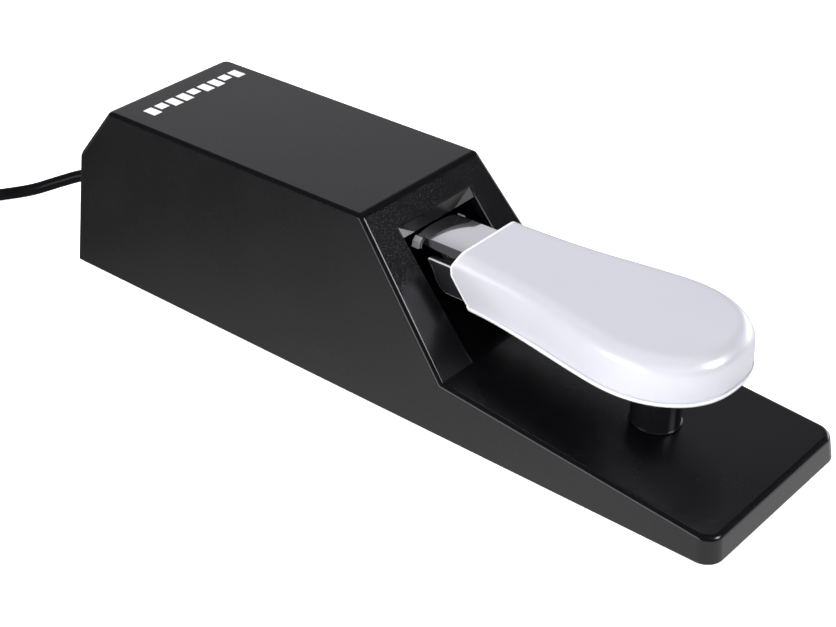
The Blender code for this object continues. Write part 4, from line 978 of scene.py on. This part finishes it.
def feet():
    for place in ("front_left", "front_right", "rear_left", "rear_right"):
        low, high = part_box("rubber_foot_" + place)
        centre = (low + high) / 2
        radius = (high.x - low.x) / 2
        profile = [(0, low.z + 0.3 * MM), (radius * 0.45, low.z + 0.3 * MM), (radius * 0.5, low.z),
                   (radius - 0.5 * MM, low.z), (radius, low.z + 0.6 * MM), (radius, high.z), (0, high.z)]
        shape = turned(rounded_profile(profile, 0.3 * MM), (centre.x, centre.y, 0), segments=72)
        add_piece("foot_pad_" + place, shape, "black_rubber", "housing", ["rubber_foot_" + place])


def bottom_screws():
    """Cross-recess pan-head screws in the bottom plate."""
    for row in ("front", "mid", "rear"):
        for side in ("left", "right"):
            low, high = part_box(f"bottom_screw_{row}_{side}")
            centre = (low + high) / 2
            head = (high.x - low.x) / 2
            thick = head * 0.42
            seat = low.z + thick
            profile = [(0, low.z)]
            profile += [(head * math.sin(angle), seat - thick * math.cos(angle))
                        for angle in (math.radians(18 * step) for step in range(1, 6))]
            profile += [(SCREW_SHANK, seat), (SCREW_SHANK, high.z - SCREW_SHANK),
                        (0.3 * SCREW_SHANK, high.z), (0, high.z)]
            item = solid(turned(profile, (centre.x, centre.y, 0), segments=48), f"plate_screw_{row}_{side}")
            for wide, deep in ((head * 0.55, head * 0.11), (head * 0.11, head * 0.55)):
                cut = box((centre.x - wide, centre.x + wide), (centre.y - deep, centre.y + deep),
                          (low.z - 1 * MM, low.z + thick * 0.6))
                combine(item, solid(cut))
            finish_piece(item, "zinc_steel", "housing", [f"bottom_screw_{row}_{side}"])


# ---- cable and plug

def cable_path():
    """From inside the housing, out at the rear, down to the floor and round to the plug."""
    relief = middle("strain_relief")
    plug = middle("plug_handle")
    ground = FLOOR + CABLE_RADIUS
    exit_z = relief.z
    points = [(0.0, 20.0, exit_z), (0.0, 12.0, exit_z), (0.0, 3.0, exit_z), (0.0, -12.0, exit_z),
              (-1.2, -22.0, exit_z - 1.2 * MM), (-4.0, -31.3, exit_z - 4.0 * MM),
              (-8.0, -39.0, exit_z - 7.2 * MM), (-14.0, -48.5, exit_z - 11.2 * MM),
              (-21.7, -56.9, ground + 0.5 * MM), (-31.0, -64.8, ground + 0.15 * MM), (-42.0, -71.8, ground),
              (-54.0, -76.8, ground), (-66.0, -79.4, ground), (-76.0, -80.2, ground + 1.2 * MM),
              (-84.0, -80.2, plug.z - 0.4 * MM), (-96.0, -80.2, plug.z)]
    return [(x * MM, at(distance * MM), z) for x, distance, z in points]


def cable_run():
    add_piece("cable_sheath", sweep(smooth_path(cable_path()), CABLE_RADIUS, 28), "gloss_cable", "housing",
              ["cable"], sharp=60)
    inner = CABLE_RADIUS + GAP
    outline = [(inner, -6.4), (6.2, -6.4), (6.2, -4.85), (4.1, -4.85), (4.1, -0.45), (5.6, -0.45),
               (5.6, 0.6), (5.2, 0.9), (4.3, 1.1)]
    for rib in range(4):
        start = 1.6 + rib * 2.3
        size = 4.1 - rib * 0.22
        outline += [(size - 0.7, start), (size - 0.7, start + 0.7), (size, start + 0.9), (size, start + 1.9)]
    outline += [(3.1, 10.9), (inner, 11.0)]
    outline = [(radius if radius == inner else radius * MM, height * MM) for radius, height in outline]
    shape = turned(outline, (0, at(0), middle("strain_relief").z), "Y", 64, closed=True)
    add_piece("relief_boot", shape, "black_rubber", "housing", ["strain_relief"])


def plug():
    """Quarter-inch plug with a ribbed grip."""
    centre = middle("plug_handle")
    centre.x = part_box("plug_handle")[1].x - 2.0 * MM
    bore = CABLE_RADIUS + GAP

    def along(points):
        return [(radius * MM if radius else 0.0, -height * MM) for radius, height in points]

    grip = [(bore / MM, -2.0), (2.9, -2.0), (3.1, -1.7), (3.6, 4.0), (4.7, 5.6), (5.2, 7.2)]
    for rib in range(9):
        place = 9.0 + rib * 1.7
        grip += [(5.3, place), (5.0, place + 0.25), (5.0, place + 0.75), (5.3, place + 1.0)]
    grip += [(5.3, 31.0), (5.15, 31.7), (4.9, 32.0), (2.3, 32.0), (2.3, 22.0), (bore / MM, 22.0)]
    add_piece("plug_grip", turned(along(grip), centre, "X", 72, closed=True), "black_rubber", "housing",
              ["plug_handle"])
    sleeve = [(0, 24.0), (2.0, 24.0), (2.0, 32.3), (4.2, 32.3), (4.4, 32.5), (4.4, 33.6), (3.17, 33.6),
              (3.17, 53.9), (3.05, 54.0), (0, 54.0)]
    add_piece("plug_barrel", turned(along(sleeve), centre, "X", 64), "turned_nickel", "housing",
              ["plug_sleeve"], "zinc_steel")
    ring = [(0, 54.3), (3.1, 54.3), (3.1, 55.1), (0, 55.1)]
    add_piece("plug_insulator", turned(along(ring), centre, "X", 64), "gloss_plastic", "housing",
              ["plug_ring"], "black_plastic")
    tip = [(0, 55.4), (3.1, 55.4), (3.17, 55.5), (3.17, 57.2), (2.2, 58.3), (2.25, 58.6), (3.0, 60.2),
           (2.98, 60.9), (2.7, 61.9), (2.1, 62.8), (1.2, 63.6), (0, 64.0)]
    add_piece("plug_point", turned(along(tip), centre, "X", 64), "turned_nickel", "housing", ["plug_tip"],
              "zinc_steel")


# ---- printed mark

def printed_mark():
    """A plain row of bars, like piano keys, printed across the rear of the top face."""
    ink = 0.03 * MM
    level = HOUSING_HIGH.z
    shape = bmesh.new()
    for index in range(MARK_BARS):
        x = (index - (MARK_BARS - 1) / 2) * MARK_STEP + MARK_SHIFT
        short = MARK_TALL * 0.3 if index % 3 == 1 else 0.0
        left, right = x - MARK_BAR / 2, x + MARK_BAR / 2
        rear, front = at(MARK_PLACE - MARK_TALL / 2), at(MARK_PLACE + MARK_TALL / 2 - short)
        corners = [(left, rear), (right, rear), (right, front), (left, front)]
        loft([[(a, b, z) for a, b in corners] for z in (level - ink, level + ink)], shape)
    add_piece("printed_mark", shape, "printed_white", "housing")


# ---- everything else keeps its CAD shape

def dress_cad_nodes():
    slots = {part["node"]: part["material_slot"] for part in frame["record"]["subparts"]}
    for name, item in frame["nodes"].items():
        look = "plate_plastic" if slots[name] == "black_plastic" else slots[name]
        item.data.materials.clear()
        item.data.materials.append(MATERIALS[look])
        item.data.set_sharp_from_angle(angle=math.radians(32))


# ---- studio

def studio_floor():
    """A pale floor. Seen in a reflection it runs from dim behind the object to bright in front of it."""
    reach = 3.0
    shape = bmesh.new()
    corners = [(-reach, -reach), (reach, -reach), (reach, reach), (-reach, reach)]
    shape.faces.new([shape.verts.new((x, y, FLOOR)) for x, y in corners])
    floor = to_object("studio_floor", shape)
    paint = Paint("studio_floor")
    paint.set("Base Color", (0.86, 0.86, 0.86, 1.0))
    paint.set("Roughness", 0.9)
    paint.set("Specular IOR Level", 0.1)
    paint.set("Emission Color", (1.0, 1.0, 1.0, 1.0))
    rays = paint.node("ShaderNodeLightPath")
    seen = paint.math("MULTIPLY", rays.outputs["Is Camera Ray"], 0.5)
    paint.set("Emission Strength", paint.math("ADD", seen, FLOOR_GLOW))
    glow = paint.node("ShaderNodeEmission")
    paint.link(paint.spread(paint.coordinate("Y"), 0.20, 1.02, 0.15, -0.08), glow.inputs["Strength"])
    blend = paint.node("ShaderNodeMixShader")
    paint.link(rays.outputs["Is Glossy Ray"], blend.inputs[0])
    paint.link(paint.shader.outputs[0], blend.inputs[1])
    paint.link(glow.outputs[0], blend.inputs[2])
    paint.link(blend.outputs[0], paint.tree.nodes["Material Output"].inputs["Surface"])
    floor.data.materials.append(paint.material)


def studio_world():
    """A studio described by soft patches of light round the object, white where the camera sees it."""
    world = bpy.data.worlds.new("studio")
    bpy.context.scene.world = world
    world.use_nodes = True
    sky = Nodes(world.node_tree)
    direction = sky.node("ShaderNodeTexCoord").outputs["Generated"]

    def lobe(centre, wide, narrow, power):
        """Light that is full within the narrow angle and gone beyond the wide one, in degrees."""
        return sky.spread(sky.dot(direction, Vector(centre).normalized()), 0.0, power,
                          math.cos(math.radians(wide)), math.cos(math.radians(narrow)), "SMOOTHSTEP")

    mirrored = lobe((0.27, -0.79, 0.55), 12, 9, 13.0)
    mirrored = sky.math("ADD", mirrored, lobe((-0.95, 0.29, 0.0), 23, 12, 3.8))
    mirrored = sky.math("ADD", mirrored, lobe((0.99, -0.15, 0.04), 24, 12, 4.5))
    rays = sky.node("ShaderNodeLightPath")
    mirrored = sky.math("MULTIPLY", mirrored, rays.outputs["Is Glossy Ray"])
    total = sky.math("ADD", lobe((0.74, 0.64, 0.18), 42, 20, 0.54), 0.08)
    total = sky.math("ADD", total, mirrored)
    total = sky.math("MAXIMUM", total, sky.math("MULTIPLY", rays.outputs["Is Camera Ray"], 1.2))
    background = sky.tree.nodes["Background"]
    sky.link(total, background.inputs["Strength"])
    background.inputs["Color"].default_value = (0.955, 0.935, 1.0, 1.0)


def add_lamp(name, place, aim, size, power, in_reflections):
    data = bpy.data.lights.new(name, "AREA")
    data.shape = "RECTANGLE"
    data.size, data.size_y = size
    data.energy = power
    lamp = bpy.data.objects.new(name, data)
    bpy.context.scene.collection.objects.link(lamp)
    lamp.location = place
    lamp.rotation_mode = "QUATERNION"
    lamp.rotation_quaternion = (Vector(aim) - Vector(place)).to_track_quat("-Z", "Y")
    lamp.visible_glossy = in_reflections


def studio_lights():
    add_lamp("overhead_bank", (0.1, 0.1, 1.5), (0, 0, 0), (2.2, 2.2), 34.0, False)
    add_lamp("front_key", (-0.8, -1.0, 0.7), (0, -0.08, 0.03), (0.9, 0.7), 12.5, False)
    add_lamp("left_fill", (-1.0, 0.2, 0.35), (0, -0.05, 0.03), (0.8, 0.5), 9.0, False)


def camera():
    """Seen from the front left, a little above."""
    data = bpy.data.cameras.new("camera")
    data.lens = CAMERA_LENS
    data.sensor_width = 36.0
    data.clip_start = 0.01
    item = bpy.data.objects.new("camera", data)
    bpy.context.scene.collection.objects.link(item)
    azimuth, elevation, roll = (math.radians(angle) for angle in CAMERA_ANGLES)
    aim = Vector((CAMERA_AIM_SHIFT, (HOUSING_LOW.y + HOUSING_HIGH.y) / 2, FLOOR + CAMERA_AIM_HEIGHT))
    back = Vector((math.sin(azimuth) * math.cos(elevation), -math.cos(azimuth) * math.cos(elevation),
                   math.sin(elevation)))
    level = (-back).cross(Vector((0, 0, 1))).normalized()
    top = level.cross(-back)
    right = level * math.cos(roll) + top * math.sin(roll)
    upward = top * math.cos(roll) - level * math.sin(roll)
    turn = Matrix((right, upward, back)).transposed().to_4x4()
    item.matrix_world = Matrix.Translation(aim + back * CAMERA_DISTANCE) @ turn
    bpy.context.scene.camera = item


dress_cad_nodes()
housing_shell()
printed_mark()
neck_and_lever()
side_bracket()
shoulder_pads()
foot_cap()
post_and_bumper()
coil_spring()
feet()
bottom_screws()
cable_run()
plug()

studio_floor()
studio_world()
studio_lights()
camera()
bpy.context.scene.view_settings.view_transform = "Standard"
